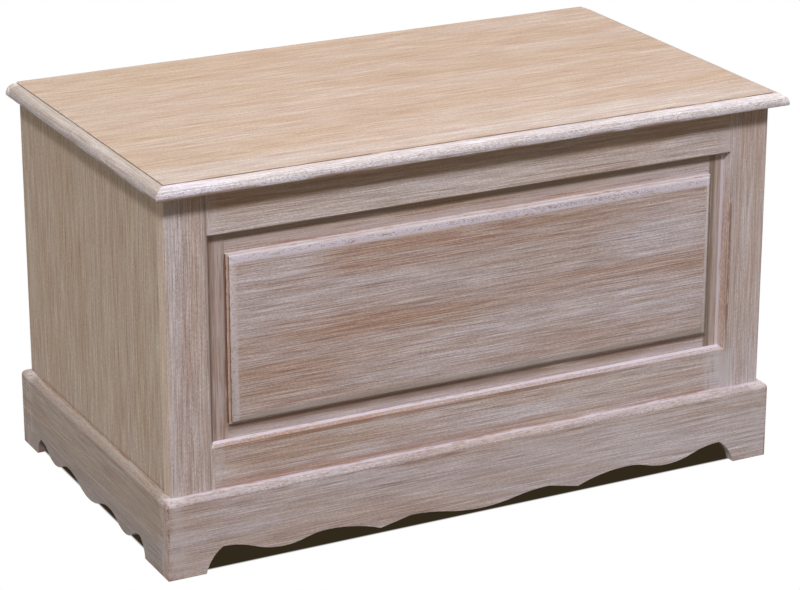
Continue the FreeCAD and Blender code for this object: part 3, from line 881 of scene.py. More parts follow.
@dataclass
class FrontFrame(SubAssembly):
    """The stiles and rails of the front.

    Attributes:
        bevel_width: Width of the bevel round the opening.
        bevel_white: Share of the bottom rail's bevel that is white.
        stile_width: Width of a stile.
        outer_border: Width of the limed border at a stile's outer edge.
        inner_border: Width of the one beside its bevel.
        rubbed_edge: Width of the rubbed strip beside its bevel.
        rubbed_arris: Width of the rubbed strip at the right stile's outer arris.
        wear_top: How far below the opening's top the wear of the right stile ends.
        smear: How far the lime at the lower right joint runs over the rail and over the stile.
        brown_end: Where the browner left part of the bottom rail ends.
        end_wash: How far the stiles' brush strokes run over the rails.
        foot_stain: Height of the stained strip above the plinth.
        lid_shade_and_stain: Height of the strip under the lid, over the lid's cast shadow, that is painted
            brown: partly stain and partly painted shade.
    """

    bevel_width: float = 4.5
    bevel_white: float = 0.42
    stile_width: float = 60.0
    outer_border: float = 10.0
    inner_border: float = 12.0
    rubbed_edge: float = 4.5
    rubbed_arris: float = 1.6
    wear_top: float = 50.0
    smear: tuple[float, float] = (26.0, 16.0)
    brown_end: float = -40.0
    end_wash: float = 11.0
    foot_stain: float = 12.0
    lid_shade_and_stain: float = 29.0

    @classmethod
    def opening(cls) -> Triple:
        """Returns half the width of the frame's opening, and its lowest and highest place."""
        half = box_mm("front_right_stile")[1].x - cls.stile_width
        return half, box_mm("front_bottom_rail")[1].z, box_mm("front_top_rail")[0].z

    def build(self) -> None:
        """Works the frame, with its joints left flush."""
        half = self.opening()[0]
        back = box_mm("front_right_stile")[1].y
        flush = ((Axis.X, half), (Axis.X, -half), (Axis.Y, back))
        self.work("front_left_stile", "front_right_stile", "front_top_rail", "front_bottom_rail", flush=flush)

    def dress(self) -> None:
        """Finishes the stiles with the grain upright and the rails with it level."""
        for number, (hand, fibre) in enumerate(zip(HANDS, (0.9, 0.7))):
            finish = LimedWood(f"limed_{hand}_stile", Axis.Z, seed=40 + number, ground=(199, 178, 170),
                               cool=(210, 198, 201), stain=(166, 134, 118), stain_cover=0.45, lime_cover=0.5,
                               fibre=fibre, washes=(self.outer_wash(hand),),
                               patches=self.stile_patches(hand), bare=Side.BACK)
            self.coat(finish.material(), f"front_{hand}_stile")
        patches = {"top": self.top_rail_patches(), "bottom": self.bottom_rail_patches()}
        washes = {"top": (self.lit_wash(),), "bottom": (self.worn_wash(),)}
        for number, place in enumerate(patches):
            finish = LimedWood(f"limed_{place}_rail", Axis.X, seed=44 + number, ground=(201, 183, 177),
                               cool=(210, 200, 205), stain=(168, 132, 114), stain_cover=0.4, lime_cover=0.45,
                               fibre=0.78, washes=washes[place], patches=patches[place], bare=Side.BACK)
            self.coat(finish.material(), f"front_{place}_rail")

    def outer_wash(self, hand: str) -> Patch:
        """Returns the golden wash on the outer edge of a stile, seen at the end of the chest."""
        side = Side.LEFT if hand == "left" else Side.RIGHT
        return Patch((222, 199, 178), 0.85, (), facing=side, grain=Axis.Z, along=160, across=3, whole=0.85)

    def lit_wash(self) -> Patch:
        """Returns the lilac wash on the top rail, below the brown strip of stain and painted shade under the
        lid.
        """
        top = box_mm("front_top_rail")[1].z
        height = Span(Axis.Z, self.opening()[2] + self.bevel_width, top - self.lid_shade_and_stain - 5, soft=5)
        return Patch((218, 206, 207), 0.55, (height,), along=240, across=4, whole=0.65)

    def worn_wash(self) -> Patch:
        """Returns the browner wash on the left half of the bottom rail."""
        left = Span(Axis.X, -self.opening()[0], self.brown_end, soft=120)
        return Patch((178, 142, 120), 0.5, (left,), along=200, across=4, whole=0.6)

    def stile_patches(self, hand: str) -> tuple[Patch, ...]:
        """Returns where a stile differs: its limed borders and its bevel.

        Args:
            hand: Left or right.

        Returns:
            The patches.
        """
        half, low, high = self.opening()
        outer, shoulder = half + self.stile_width, half + self.bevel_width
        bevel = Span(Axis.X, half, shoulder, soft=0.6, both_sides=True)
        border = Span(Axis.X, outer - self.outer_border, outer, soft=6, both_sides=True)
        inner = Span(Axis.X, shoulder, shoulder + self.inner_border, soft=4, both_sides=True)
        edge = Span(Axis.X, shoulder - 0.5, shoulder + self.rubbed_edge, soft=1.2, both_sides=True)
        limed = (216, 207, 212)
        patches = (
            Patch(limed, 0.45, (border,), grain=Axis.Z, along=140, across=2.2, whole=0.6),
            Patch(limed, 0.4, (inner,), grain=Axis.Z, along=140, across=2, whole=0.5),
            Patch((118, 98, 88), 0.4, (inner,), grain=Axis.Z, along=140, across=1.2, whole=0.28),
            Patch(limed, 0.5, (bevel,), grain=Axis.Z, along=14, across=2, whole=0.55),
        )
        if hand == "left":
            rubbed = Patch((132, 104, 88), 0.5, (edge,), grain=Axis.Z, along=90, across=1.4, whole=0.62)
            return patches + (rubbed,)
        worn = Span(Axis.Z, low, high - self.wear_top, soft=45)
        arris = Span(Axis.X, outer - self.rubbed_arris, outer + 1, soft=0.4)
        return patches + (
            self.smear_patch(),
            Patch((190, 146, 118), 0.6, (bevel, worn), grain=Axis.Z, along=5, across=1.6, whole=0.55),
            Patch((138, 92, 66), 0.8, (edge, worn), grain=Axis.Z, along=16, across=2, whole=0.64),
            Patch((150, 102, 74), 0.7, (arris, worn), grain=Axis.Z, along=70, across=3, whole=0.7),
        )

    def end_wash_patch(self) -> Patch:
        """Returns the upright strokes with which the stiles' lime runs over the ends of a rail."""
        half = self.opening()[0]
        ends = Span(Axis.X, half - self.end_wash, half + 1, soft=5, both_sides=True)
        return Patch((214, 205, 210), 0.45, (ends,), grain=Axis.Z, along=30, across=9, whole=0.7)

    def smear_patch(self) -> Patch:
        """Returns the lime smeared over the lower right joint of the frame."""
        half, low, _ = self.opening()
        across = Span(Axis.X, half - self.smear[0], half + self.smear[1], soft=8)
        height = Span(Axis.Z, box_mm("front_bottom_rail")[0].z, low - 8, soft=10)
        return Patch((218, 214, 224), 0.6, (across, height), grain=Axis.Z, along=50, across=4, whole=0.7)

    def top_rail_patches(self) -> tuple[Patch, ...]:
        """Returns where the top rail differs: brushed ends, a bevel darkened with painted shade, and brown
        under the lid that is partly stain and partly painted shade.
        """
        high = self.opening()[2]
        top = box_mm("front_top_rail")[1].z
        bevel = Span(Axis.Z, high, high + self.bevel_width - 0.4, soft=0.6)
        under_lid = Span(Axis.Z, top - self.lid_shade_and_stain, top + 1, soft=4)
        return (
            self.end_wash_patch(),
            # Partly stain, partly painted shade: brown laid over the lid's cast shadow on the rail.
            Patch((198, 164, 128), 0.32, (under_lid,), along=160, across=8, whole=0.85),
            Patch((150, 104, 78), 0.3, (under_lid,), along=90, across=5, whole=0.45),
            # Painted shade: the downward-facing bevel is darkened to olive-brown.
            Patch((146, 114, 72), 0.75, (bevel,), along=120, across=4, whole=0.8),
        )

    def bottom_rail_patches(self) -> tuple[Patch, ...]:
        """Returns where the bottom rail differs: its bevel, white above and rubbed below, and its foot."""
        half, low, _ = self.opening()
        foot = box_mm("front_bottom_rail")[0].z
        shoulder = low - self.bevel_width
        middle = low - self.bevel_width * self.bevel_white
        white = Span(Axis.Z, middle, low + 1, soft=0.3)
        speckled = Span(Axis.Z, shoulder, middle, soft=0.4)
        below = Span(Axis.Z, shoulder - 5, shoulder + 0.4, soft=1)
        strip = Span(Axis.Z, foot, foot + self.foot_stain, soft=4)
        left = Span(Axis.X, -half, -60, soft=80)
        worn = Span(Axis.X, -half, 190, soft=50)
        return (
            self.end_wash_patch(),
            self.smear_patch(),
            Patch((164, 118, 96), 0.45, (strip,), along=180, across=3, whole=0.52),
            Patch((146, 104, 82), 0.6, (below, worn), along=90, across=2, whole=0.66),
            Patch((212, 203, 216), 0.7, (speckled,), along=3, across=1.2, whole=0.52),
            Patch((186, 148, 120), 0.7, (speckled, left), along=4, across=1.4, whole=0.62),
            Patch((230, 223, 238), 0.8, (white,), along=14, across=1.6, whole=0.72),
            Patch((128, 104, 96), 0.5, (speckled,), along=2.6, across=1, whole=0.34),
        )


@dataclass
class RaisedPanel(SubAssembly):
    """The raised and fielded panel in the front frame.

    Attributes:
        side_margin: Flat margin between the frame and the moulding at the left and right.
        top_margin: The same above.
        bottom_margin: The same below.
        ledge: Width of the ledge between the two steps of the moulding.
        round_width: Width of the round from the upper step to the field.
        first_step: How far the first step stands before the margin.
        margin_depth: How far the margin lies behind the panel's highest face.
        rail_shade: Height of the olive-brown strip on the margin under the top rail: painted shade and brown
            glaze.
        field_shade: Height of the brown strip on the margin under the field: painted shade and brown stain.
        left_shade: Width of the brown strip at the frame's left, in the corner by the stile: partly painted
            shade, partly dirt.
        right_shade: Width of the olive strip at the field's right: the field's shadow on the margin, painted,
            with brown glaze in the corner.
        white_line: Width of the white lines at the right of the margin and of the field.
        speck_height: Height of the speckled strip at the field's top.
        worn_stretch: Where that strip is worn more.
    """

    side_margin: float = 22.8
    top_margin: float = 24.7
    bottom_margin: float = 20.3
    ledge: float = 3.0
    round_width: float = 9.0
    first_step: float = 4.2
    margin_depth: float = 8.5
    rail_shade: float = 9.0
    field_shade: float = 12.0
    left_shade: float = 8.0
    right_shade: float = 9.0
    white_line: float = 4.5
    speck_height: float = 7.0
    worn_stretch: tuple[float, float] = (60.0, 250.0)

    def build(self) -> None:
        """Works the panel."""
        self.work("front_raised_panel")

    def dress(self) -> None:
        """Finishes the field and its moulded edge."""
        finish = LimedWood("limed_raised_panel", Axis.X, seed=50, ground=(190, 167, 158),
                           cool=(200, 186, 188), stain=(172, 132, 109), stain_cover=0.5, lime_cover=0.58,
                           fibre=0.85, washes=self.field_washes(),
                           patches=self.margin_patches() + self.moulding_patches(), bare=Side.BACK)
        self.coat(finish.material(), "front_raised_panel")

    def field_washes(self) -> tuple[Patch, ...]:
        """Returns the broad washes of the field: brown ribbons at the left and lilac ones at the right."""
        brown, lilac = (176, 134, 111), (217, 209, 220)
        # Each wash has its colour and cover, then where it starts, ends and fades along X and along Z.
        washes = (
            (brown, 0.55, (-230, 80, 70), (362, 400, 14)), (brown, 0.58, (-300, -30, 60), (270, 314, 12)),
            (brown, 0.55, (150, 345, 60), (286, 312, 9)), (brown, 0.52, (-330, -190, 40), (206, 262, 14)),
            (lilac, 0.5, (-345, -220, 40), (352, 408, 14)), (lilac, 0.5, (-130, 110, 80), (220, 270, 14)),
            (lilac, 0.65, (140, 360, 90), (222, 282, 14)), (lilac, 0.6, (200, 360, 60), (312, 392, 18)),
        )
        return tuple(
            Patch(colour, cover, (Span(Axis.X, *along), Span(Axis.Z, *across)),
                  along=170, across=2.8, whole=0.57)
            for colour, cover, along, across in washes
        )

    def foot(self) -> Triple:
        """Returns where the moulding starts: half its width, and its lowest and highest place."""
        half, low, high = FrontFrame.opening()
        return half - self.side_margin, low + self.bottom_margin, high - self.top_margin

    def margin(self) -> float:
        """Returns the depth of the margin's face."""
        return box_mm("front_raised_panel")[0].y + self.margin_depth

    def flat(self) -> Span:
        """Returns the depths that belong to the margin's face."""
        return Span(Axis.Y, self.margin() - 0.3, self.margin() + 2, soft=0.2)

    def margin_patches(self) -> tuple[Patch, ...]:
        """Returns where the flat margin differs: its borders of painted shade and brown stain, its upright
        sides and its white line.
        """
        half, _, high = FrontFrame.opening()
        foot_x, foot_low, _ = self.foot()
        flat = self.flat()
        lilac, brown, olive = (206, 194, 200), (130, 98, 74), (116, 98, 78)
        sides = Span(Axis.X, foot_x, half + 1, soft=0.5, both_sides=True)
        under_rail = Span(Axis.Z, high - self.rail_shade, high + 1, soft=3)
        under_field = Span(Axis.Z, foot_low - self.field_shade, foot_low + 1, soft=4)
        left_part = Span(Axis.X, -half, 60, soft=120)
        right_line = Span(Axis.X, half - self.white_line, half + 1, soft=0.8)
        right_shade = Span(Axis.X, foot_x, foot_x + self.right_shade, soft=2.5)
        left_shade = Span(Axis.X, -half - 1, -half + self.left_shade, soft=3)
        return (
            Patch(lilac, 0.45, (flat,), along=160, across=6, whole=0.6),
            # Painted shade with brown glaze: olive-brown on the margin under the top rail.
            Patch((134, 106, 66), 0.5, (flat, under_rail), along=120, across=5, whole=0.75),
            # Painted shade with brown stain on the margin under the field, stronger at the left.
            Patch(brown, 0.5, (flat, under_field), along=120, across=5, whole=0.7),
            Patch(brown, 0.45, (flat, under_field, left_part), along=120, across=5, whole=0.85),
            Patch((186, 165, 157), 0.85, (flat, sides)),
            Patch(lilac, 0.5, (flat, sides), grain=Axis.Z, along=60, across=2.2, whole=0.5),
            Patch((150, 116, 94), 0.5, (flat, sides), grain=Axis.Z, along=50, across=1.8, whole=0.4),
            # Painted shadow: an olive strip where the field casts its shadow on the margin, with some brown
            # glaze.
            Patch(olive, 0.7, (flat, right_shade), grain=Axis.Z, along=120, across=4, whole=0.85),
            # Partly painted shade, partly dirt: a brown strip in the corner by the left stile.
            Patch(brown, 0.5, (flat, left_shade), grain=Axis.Z, along=120, across=4, whole=0.8),
            Patch((238, 230, 242), 0.9, (flat, right_line), grain=Axis.Z, along=40, across=2, whole=0.82),
        )

    def moulding_patches(self) -> tuple[Patch, ...]:
        """Returns where the moulded edge differs: limed rounds, brown step walls, a cream ledge and a right
        ledge in painted shade.
        """
        foot_x, foot_low, foot_high = self.foot()
        margin, flat = self.margin(), self.flat()
        upper_x, upper_low, upper_high = foot_x - self.ledge, foot_low + self.ledge, foot_high - self.ledge
        raised = Span(Axis.Y, margin - 20, margin - self.first_step - 0.5, soft=0.4)
        walls = Span(Axis.Y, margin - 20, margin - 0.3, soft=0.2)
        height = Span(Axis.Z, foot_low + 1, foot_high - 1, soft=0.8)
        width = Span(Axis.X, 0, foot_x - 1, soft=1, both_sides=True)
        left_round = Span(Axis.X, -upper_x, -upper_x + self.round_width, soft=2)
        right_line = Span(Axis.X, upper_x - self.white_line, upper_x + 0.2, soft=0.8)
        right_ledge = Span(Axis.X, upper_x + 0.1, foot_x + 1, soft=0.3)
        top_round = Span(Axis.Z, upper_high - self.round_width - 1, upper_high, soft=2)
        top_line = Span(Axis.Z, upper_high - 1.8, upper_high + 4, soft=0.8)
        low_round = Span(Axis.Z, upper_low, upper_low + self.round_width - 2, soft=2)
        specks = Span(Axis.Z, upper_high - self.speck_height, upper_high + 0.5, soft=1.5)
        worn = Span(Axis.X, *self.worn_stretch, soft=40)
        left_edge = Span(Axis.X, -foot_x - 1, -upper_x + 0.6, soft=0.4)
        left_foot = Span(Axis.X, -foot_x - 1.7, -foot_x + 0.2, soft=0.5)
        lower = Span(Axis.Z, foot_low, (foot_low + foot_high) / 2, soft=60)
        white, cream, brown = (230, 222, 230), (212, 184, 164), (112, 66, 40)
        return (
            Patch((176, 170, 164), 0.6, (raised, low_round), along=60, across=3, whole=0.75),
            Patch((216, 210, 212), 0.65, (raised, right_line, height), grain=Axis.Z, along=50, whole=0.85),
            # Painted shade: the ledge and walls at the field's right, turned from the light, are olive-dark.
            Patch((116, 98, 78), 0.7, (walls, right_ledge, height), grain=Axis.Z, along=60, whole=0.85),
            Patch((218, 208, 212), 0.7, (raised, left_round, height), grain=Axis.Z, along=3, whole=0.62),
            Patch((222, 214, 220), 0.5, (raised, left_round, lower), grain=Axis.Z, along=3, whole=0.7),
            Patch((229, 221, 236), 0.88, (walls, top_round, width), along=9, across=3, whole=0.78),
            Patch((122, 102, 104), 0.5, (raised, specks, width), along=2.8, across=1.2, whole=0.36),
            Patch((122, 98, 98), 0.5, (raised, specks, worn), along=4, across=1.4, whole=0.42),
            Patch(white, 0.75, (walls, top_line, width), along=26, across=3, whole=0.75),
            Patch(cream, 0.7, (walls, left_edge, height), facing=Side.FRONT),
            Patch(brown, 0.95, (walls, left_edge, height), facing=Side.LEFT,
                  grain=Axis.Z, along=40, across=3, whole=0.85),
            Patch(brown, 0.7, (flat, left_foot, height), facing=Side.FRONT,
                  grain=Axis.Z, along=50, across=3, whole=0.75),
        )


@dataclass
class CaseBoards(SubAssembly):
    """The sides, back and bottom of the case.

    Attributes:
        pale_foot: Height over which the sides are paler above the plinth.
        contact_shade_height: Height of the line of painted shade on them along the plinth.
    """

    pale_foot: float = 40.0
    contact_shade_height: float = 4.0

    def build(self) -> None:
        """Works the boards, with the joint behind the stiles left flush."""
        joint = ((Axis.Y, box_mm("left_side")[0].y),)
        self.work("left_side", "right_side", flush=joint)
        self.work("back_panel", "bottom_panel")

    def dress(self) -> None:
        """Finishes the boards."""
        floor, seat = box_mm("left_side")[0].z, box_mm("plinth_front")[1].z
        foot = Span(Axis.Z, floor, floor + self.pale_foot, soft=25)
        line = Span(Axis.Z, seat - 1, seat + self.contact_shade_height, soft=2.5)
        pale = Patch((198, 186, 184), 0.35, (foot,), grain=Axis.Z, along=160, across=6, whole=0.6)
        # Painted shade: a brown contact line where the sides meet the plinth.
        contact_shade = Patch((132, 112, 96), 0.4, (line,), grain=Axis.Y, along=60, across=6, whole=0.8)
        for number, (hand, inner) in enumerate(zip(HANDS, (Side.RIGHT, Side.LEFT))):
            finish = LimedWood(f"limed_{hand}_side", Axis.Z, seed=60 + number, ground=(193, 174, 155),
                               cool=(196, 180, 166), stain=(172, 140, 120), stain_cover=0.55, lime_cover=0.3,
                               fibre=0.95, warmth=0.35, width=1.2, washes=(pale,), patches=(contact_shade,),
                               bare=inner)
            self.coat(finish.material(), f"{hand}_side")
        self.coat(Plywood("plywood_back", grain=Axis.X, through=Axis.Y, seed=5).material(), "back_panel")
        self.coat(Plywood("plywood_bottom", grain=Axis.X, through=Axis.Z, seed=6).material(), "bottom_panel")


@dataclass(frozen=True)
class BoardTones:
    """How the lime lies on a board of the plinth.

    Attributes:
        ground: Rubbed wash.
        cool: Wash where the lime lies thicker.
        crown: Lime on the upper half of the round.
        bright: Lime along its highest line.
        bright_cover: How strongly that line shows.
        flank: Lime on the lower half of the round.
        flank_whole: Share of it that stays whole.
    """

    ground: Colour
    cool: Colour
    crown: Colour
    bright: Colour
    bright_cover: float
    flank: Colour
    flank_whole: float


PLINTH_TONES = {
    Axis.X: BoardTones(ground=(195, 176, 171), cool=(205, 194, 199), crown=(186, 175, 180),
                       bright=(220, 213, 229), bright_cover=0.75, flank=(214, 205, 216), flank_whole=0.44),
    Axis.Y: BoardTones(ground=(166, 150, 136), cool=(174, 161, 153), crown=(171, 161, 155),
                       bright=(206, 199, 198), bright_cover=0.3, flank=(190, 179, 176), flank_whole=0.75),
}


@dataclass
class Plinth(SubAssembly):
    """The scalloped boards under the case, and their corner blocks.

    Attributes:
        top_round: Radius of the rounded top edge.
        bright_line: Height of the bright line along its top.
        join_line: Width of the brown line on top of the board, along the case.
        rubbed_line: Height of the brown line under the round.
        foot_scuff: Height of the scuffed strip at the floor.
        foot_top: Height of the feet.
        foot_cut: How far the cut of a foot starts and ends from the end of the board.
        scallop_top: Height of the scallops.
        lilac_stretch: Where the lilac wash of the front starts and ends.
        limed_end: Length of the limed ends of a board.
        arris_width: Width of the rubbed arris at an end.
        dent_low: Height above which the arris is dented.
    """

    top_round: float = 9.0
    bright_line: float = 0.9
    join_line: float = 3.0
    rubbed_line: float = 4.0
    foot_scuff: float = 5.0
    foot_top: float = 40.0
    foot_cut: tuple[float, float] = (85.0, 30.0)
    scallop_top: float = 42.0
    lilac_stretch: tuple[float, float] = (190.0, 443.0)
    limed_end: float = 24.0
    arris_width: float = 3.0
    dent_low: float = 45.0

    def build(self) -> None:
        """Works the boards and the blocks."""
        self.work("plinth_front", "plinth_back", "plinth_left", "plinth_right")
        self.work(*self.blocks())

    def blocks(self) -> list[str]:
        """Returns the nodes of the corner blocks."""
        return [f"plinth_block_{end}_{hand}" for end in ("front", "back") for hand in HANDS]

    def dress(self) -> None:
        """Finishes the boards with the grain along them."""
        inner = {"front": Side.BACK, "back": Side.FRONT, "left": Side.RIGHT, "right": Side.LEFT}
        for number, (place, bare) in enumerate(inner.items()):
            grain = Axis.X if place in ("front", "back") else Axis.Y
            tones = PLINTH_TONES[grain]
            finish = LimedWood(f"limed_{place}_plinth", grain, seed=70 + number, ground=tones.ground,
                               cool=tones.cool, stain=(164, 134, 122), stain_cover=0.45, lime_cover=0.45,
                               fibre=0.7, washes=(self.board_wash(grain),),
                               patches=self.edge_patches(grain) + self.corner_patches(grain), bare=bare)
            self.coat(finish.material(), f"plinth_{place}")
        self.coat(Softwood("softwood_block", Axis.Z, seed=8).material(), *self.blocks())

    def board_wash(self, grain: Axis) -> Patch:
        """Returns the broad wash of a board: lilac at the right of the front, blue-grey low on the ends."""
        if grain is Axis.X:
            limed = Span(Axis.X, *self.lilac_stretch, soft=110)
            return Patch((218, 210, 216), 0.55, (limed,), along=200, across=5, whole=0.7)
        scallops = Span(Axis.Z, -1, self.scallop_top, soft=16)
        return Patch((158, 150, 158), 0.5, (scallops,), grain=grain, along=120, across=8, whole=0.75)

    def edge_patches(self, grain: Axis) -> tuple[Patch, ...]:
        """Returns the limed round of the top edge, the brown line under it and the scuffed feet.

        Args:
            grain: Axis of the board.

        Returns:
            The patches.
        """
        top = box_mm("plinth_front")[1].z
        shoulder = top - self.top_round
        crown = Span(Axis.Z, top - self.top_round / 2, top + 1, soft=1.0)
        bright = Span(Axis.Z, top - self.bright_line, top + 1, soft=0.4)
        flank = Span(Axis.Z, shoulder, top - self.top_round / 2, soft=1.5)
        line = Span(Axis.Z, shoulder - self.rubbed_line, shoulder + 0.5, soft=1.2)
        scuffs = Span(Axis.Z, -1, self.foot_scuff, soft=2.5)
        tones = PLINTH_TONES[grain]
        across, face = Axis.X, box_mm("right_side")[1].x
        if grain is Axis.X:
            across, face = Axis.Y, -box_mm("front_right_stile")[0].y
        join = Span(across, face - 1, face + self.join_line, soft=1, both_sides=True)
        return (
            Patch(tones.flank, 0.55, (flank,), grain=grain, along=4, across=1.4, whole=tones.flank_whole),
            Patch((146, 112, 94), 0.5, (flank,), grain=grain, along=3.5, across=1.2, whole=0.38),
            Patch((146, 104, 82), 0.6, (line,), grain=grain, along=45, across=2.2, whole=0.4),
            Patch(tones.crown, 0.65, (crown,), grain=grain, along=8, across=1.8, whole=0.56),
            Patch((150, 118, 98), 0.5, (crown,), grain=grain, along=8, across=1.6, whole=0.38),
            Patch(tones.bright, tones.bright_cover, (bright,), grain=grain, along=30, across=4, whole=0.64),
            Patch((166, 118, 90), 0.6, (join,), facing=Side.UP, grain=grain, along=40, across=4, whole=0.42),
            Patch((150, 112, 90), 0.6, (scuffs,), grain=grain, along=40, across=4, whole=0.5),
        )

    def corner_patches(self, grain: Axis) -> tuple[Patch, ...]:
        """Returns the limed ends of a board, the dents at its corners and the painted light on the cuts of
        its feet.

        Args:
            grain: Axis of the board.

        Returns:
            The patches.
        """
        low, high = box_mm("plinth_front")
        end = high.x if grain is Axis.X else -low.y
        near = Span(grain, end - self.limed_end, end, soft=self.limed_end / 2, both_sides=True)
        arris = Span(grain, end - self.arris_width, end, soft=1, both_sides=True)
        dents = Span(Axis.Z, self.dent_low, high.z - 6, soft=8)
        feet = Span(Axis.Z, -1, self.foot_top, soft=4)
        cut = Span(Axis.X, *(end - inset for inset in self.foot_cut), soft=3)
        crown = Span(Axis.Z, high.z - self.top_round, high.z + 1, soft=2)
        return (
            Patch((236, 229, 230), 0.6, (near, crown), grain=grain, along=8, across=3, whole=0.62),
            Patch((216, 208, 214), 0.35, (near,), grain=Axis.Z, along=16, across=11, whole=0.55),
            Patch((150, 112, 86), 0.6, (arris,), grain=Axis.Z, along=30, across=3, whole=0.55),
            Patch((104, 78, 62), 0.7, (arris, dents), grain=Axis.Z, along=4, across=2.4, whole=0.36),
            # Painted light: the cuts of the feet that look left are painted near white, as if sunlit.
            Patch((246, 241, 242), 0.9, (feet, cut), facing=Side.LEFT),
        )


@dataclass
class Bearers(SubAssembly):
    """The strips that carry the bottom panel."""

    def build(self) -> None:
        """Works the strips."""
        self.work(*(f"bottom_bearer_{place}" for place in ("front", "back", "left", "right")))

    def dress(self) -> None:
        """Finishes the strips with the grain along them."""
        long = Softwood("softwood_long_bearer", Axis.X, seed=9).material()
        short = Softwood("softwood_short_bearer", Axis.Y, seed=10).material()
        self.coat(long, "bottom_bearer_front", "bottom_bearer_back")
        self.coat(short, "bottom_bearer_left", "bottom_bearer_right")


@dataclass
class Fittings(SubAssembly):
    """The hinges and the lid stays."""

    soften: float = 0.25

    def build(self) -> None:
        """Works the metal pieces."""
        for hand in HANDS:
            self.work(*(f"hinge_{part}_{hand}" for part in ("case_leaf", "lid_leaf", "pin")))
            self.work(*(f"stay_{part}_{hand}" for part in ("arm", "plate", "slide_pin", "bracket", "rivet")))

    def dress(self) -> None:
        """Finishes the hinges in brass and the stays in plated steel."""
        brass = WornMetal(METALS["brass"], Axis.X, bright=(214, 178, 104), dull=(166, 130, 74),
                          gloss=0.28, matt=0.48).material()
        steel = WornMetal(METALS["steel"], Axis.Z, bright=(205, 208, 212), dull=(160, 162, 164),
                          gloss=0.3, matt=0.5).material()
        for node in self.pieces:
            self.coat(brass if node.startswith("hinge") else steel, node)


@dataclass(frozen=True)
class Seat:
    """Where a screw sits.

    Attributes:
        place: Middle of its head, on the surface.
        outward: Side that the head looks to.
    """

    place: Vector
    outward: Side

    def turned(self, angle: float, depth: float) -> Matrix:
        """Returns the move that puts a piece made at the origin, looking up, into the seat.

        Args:
            angle: Turn about the screw, in degrees.
            depth: How far below the surface it goes.

        Returns:
            The move, in metres.
        """
        outward = Vector(self.outward.value)
        place = Matrix.Translation((self.place - outward * depth) * MM)
        aim = outward.to_track_quat("Z", "Y").to_matrix().to_4x4()
        return place @ aim @ Matrix.Rotation(math.radians(angle), 4, "Z")


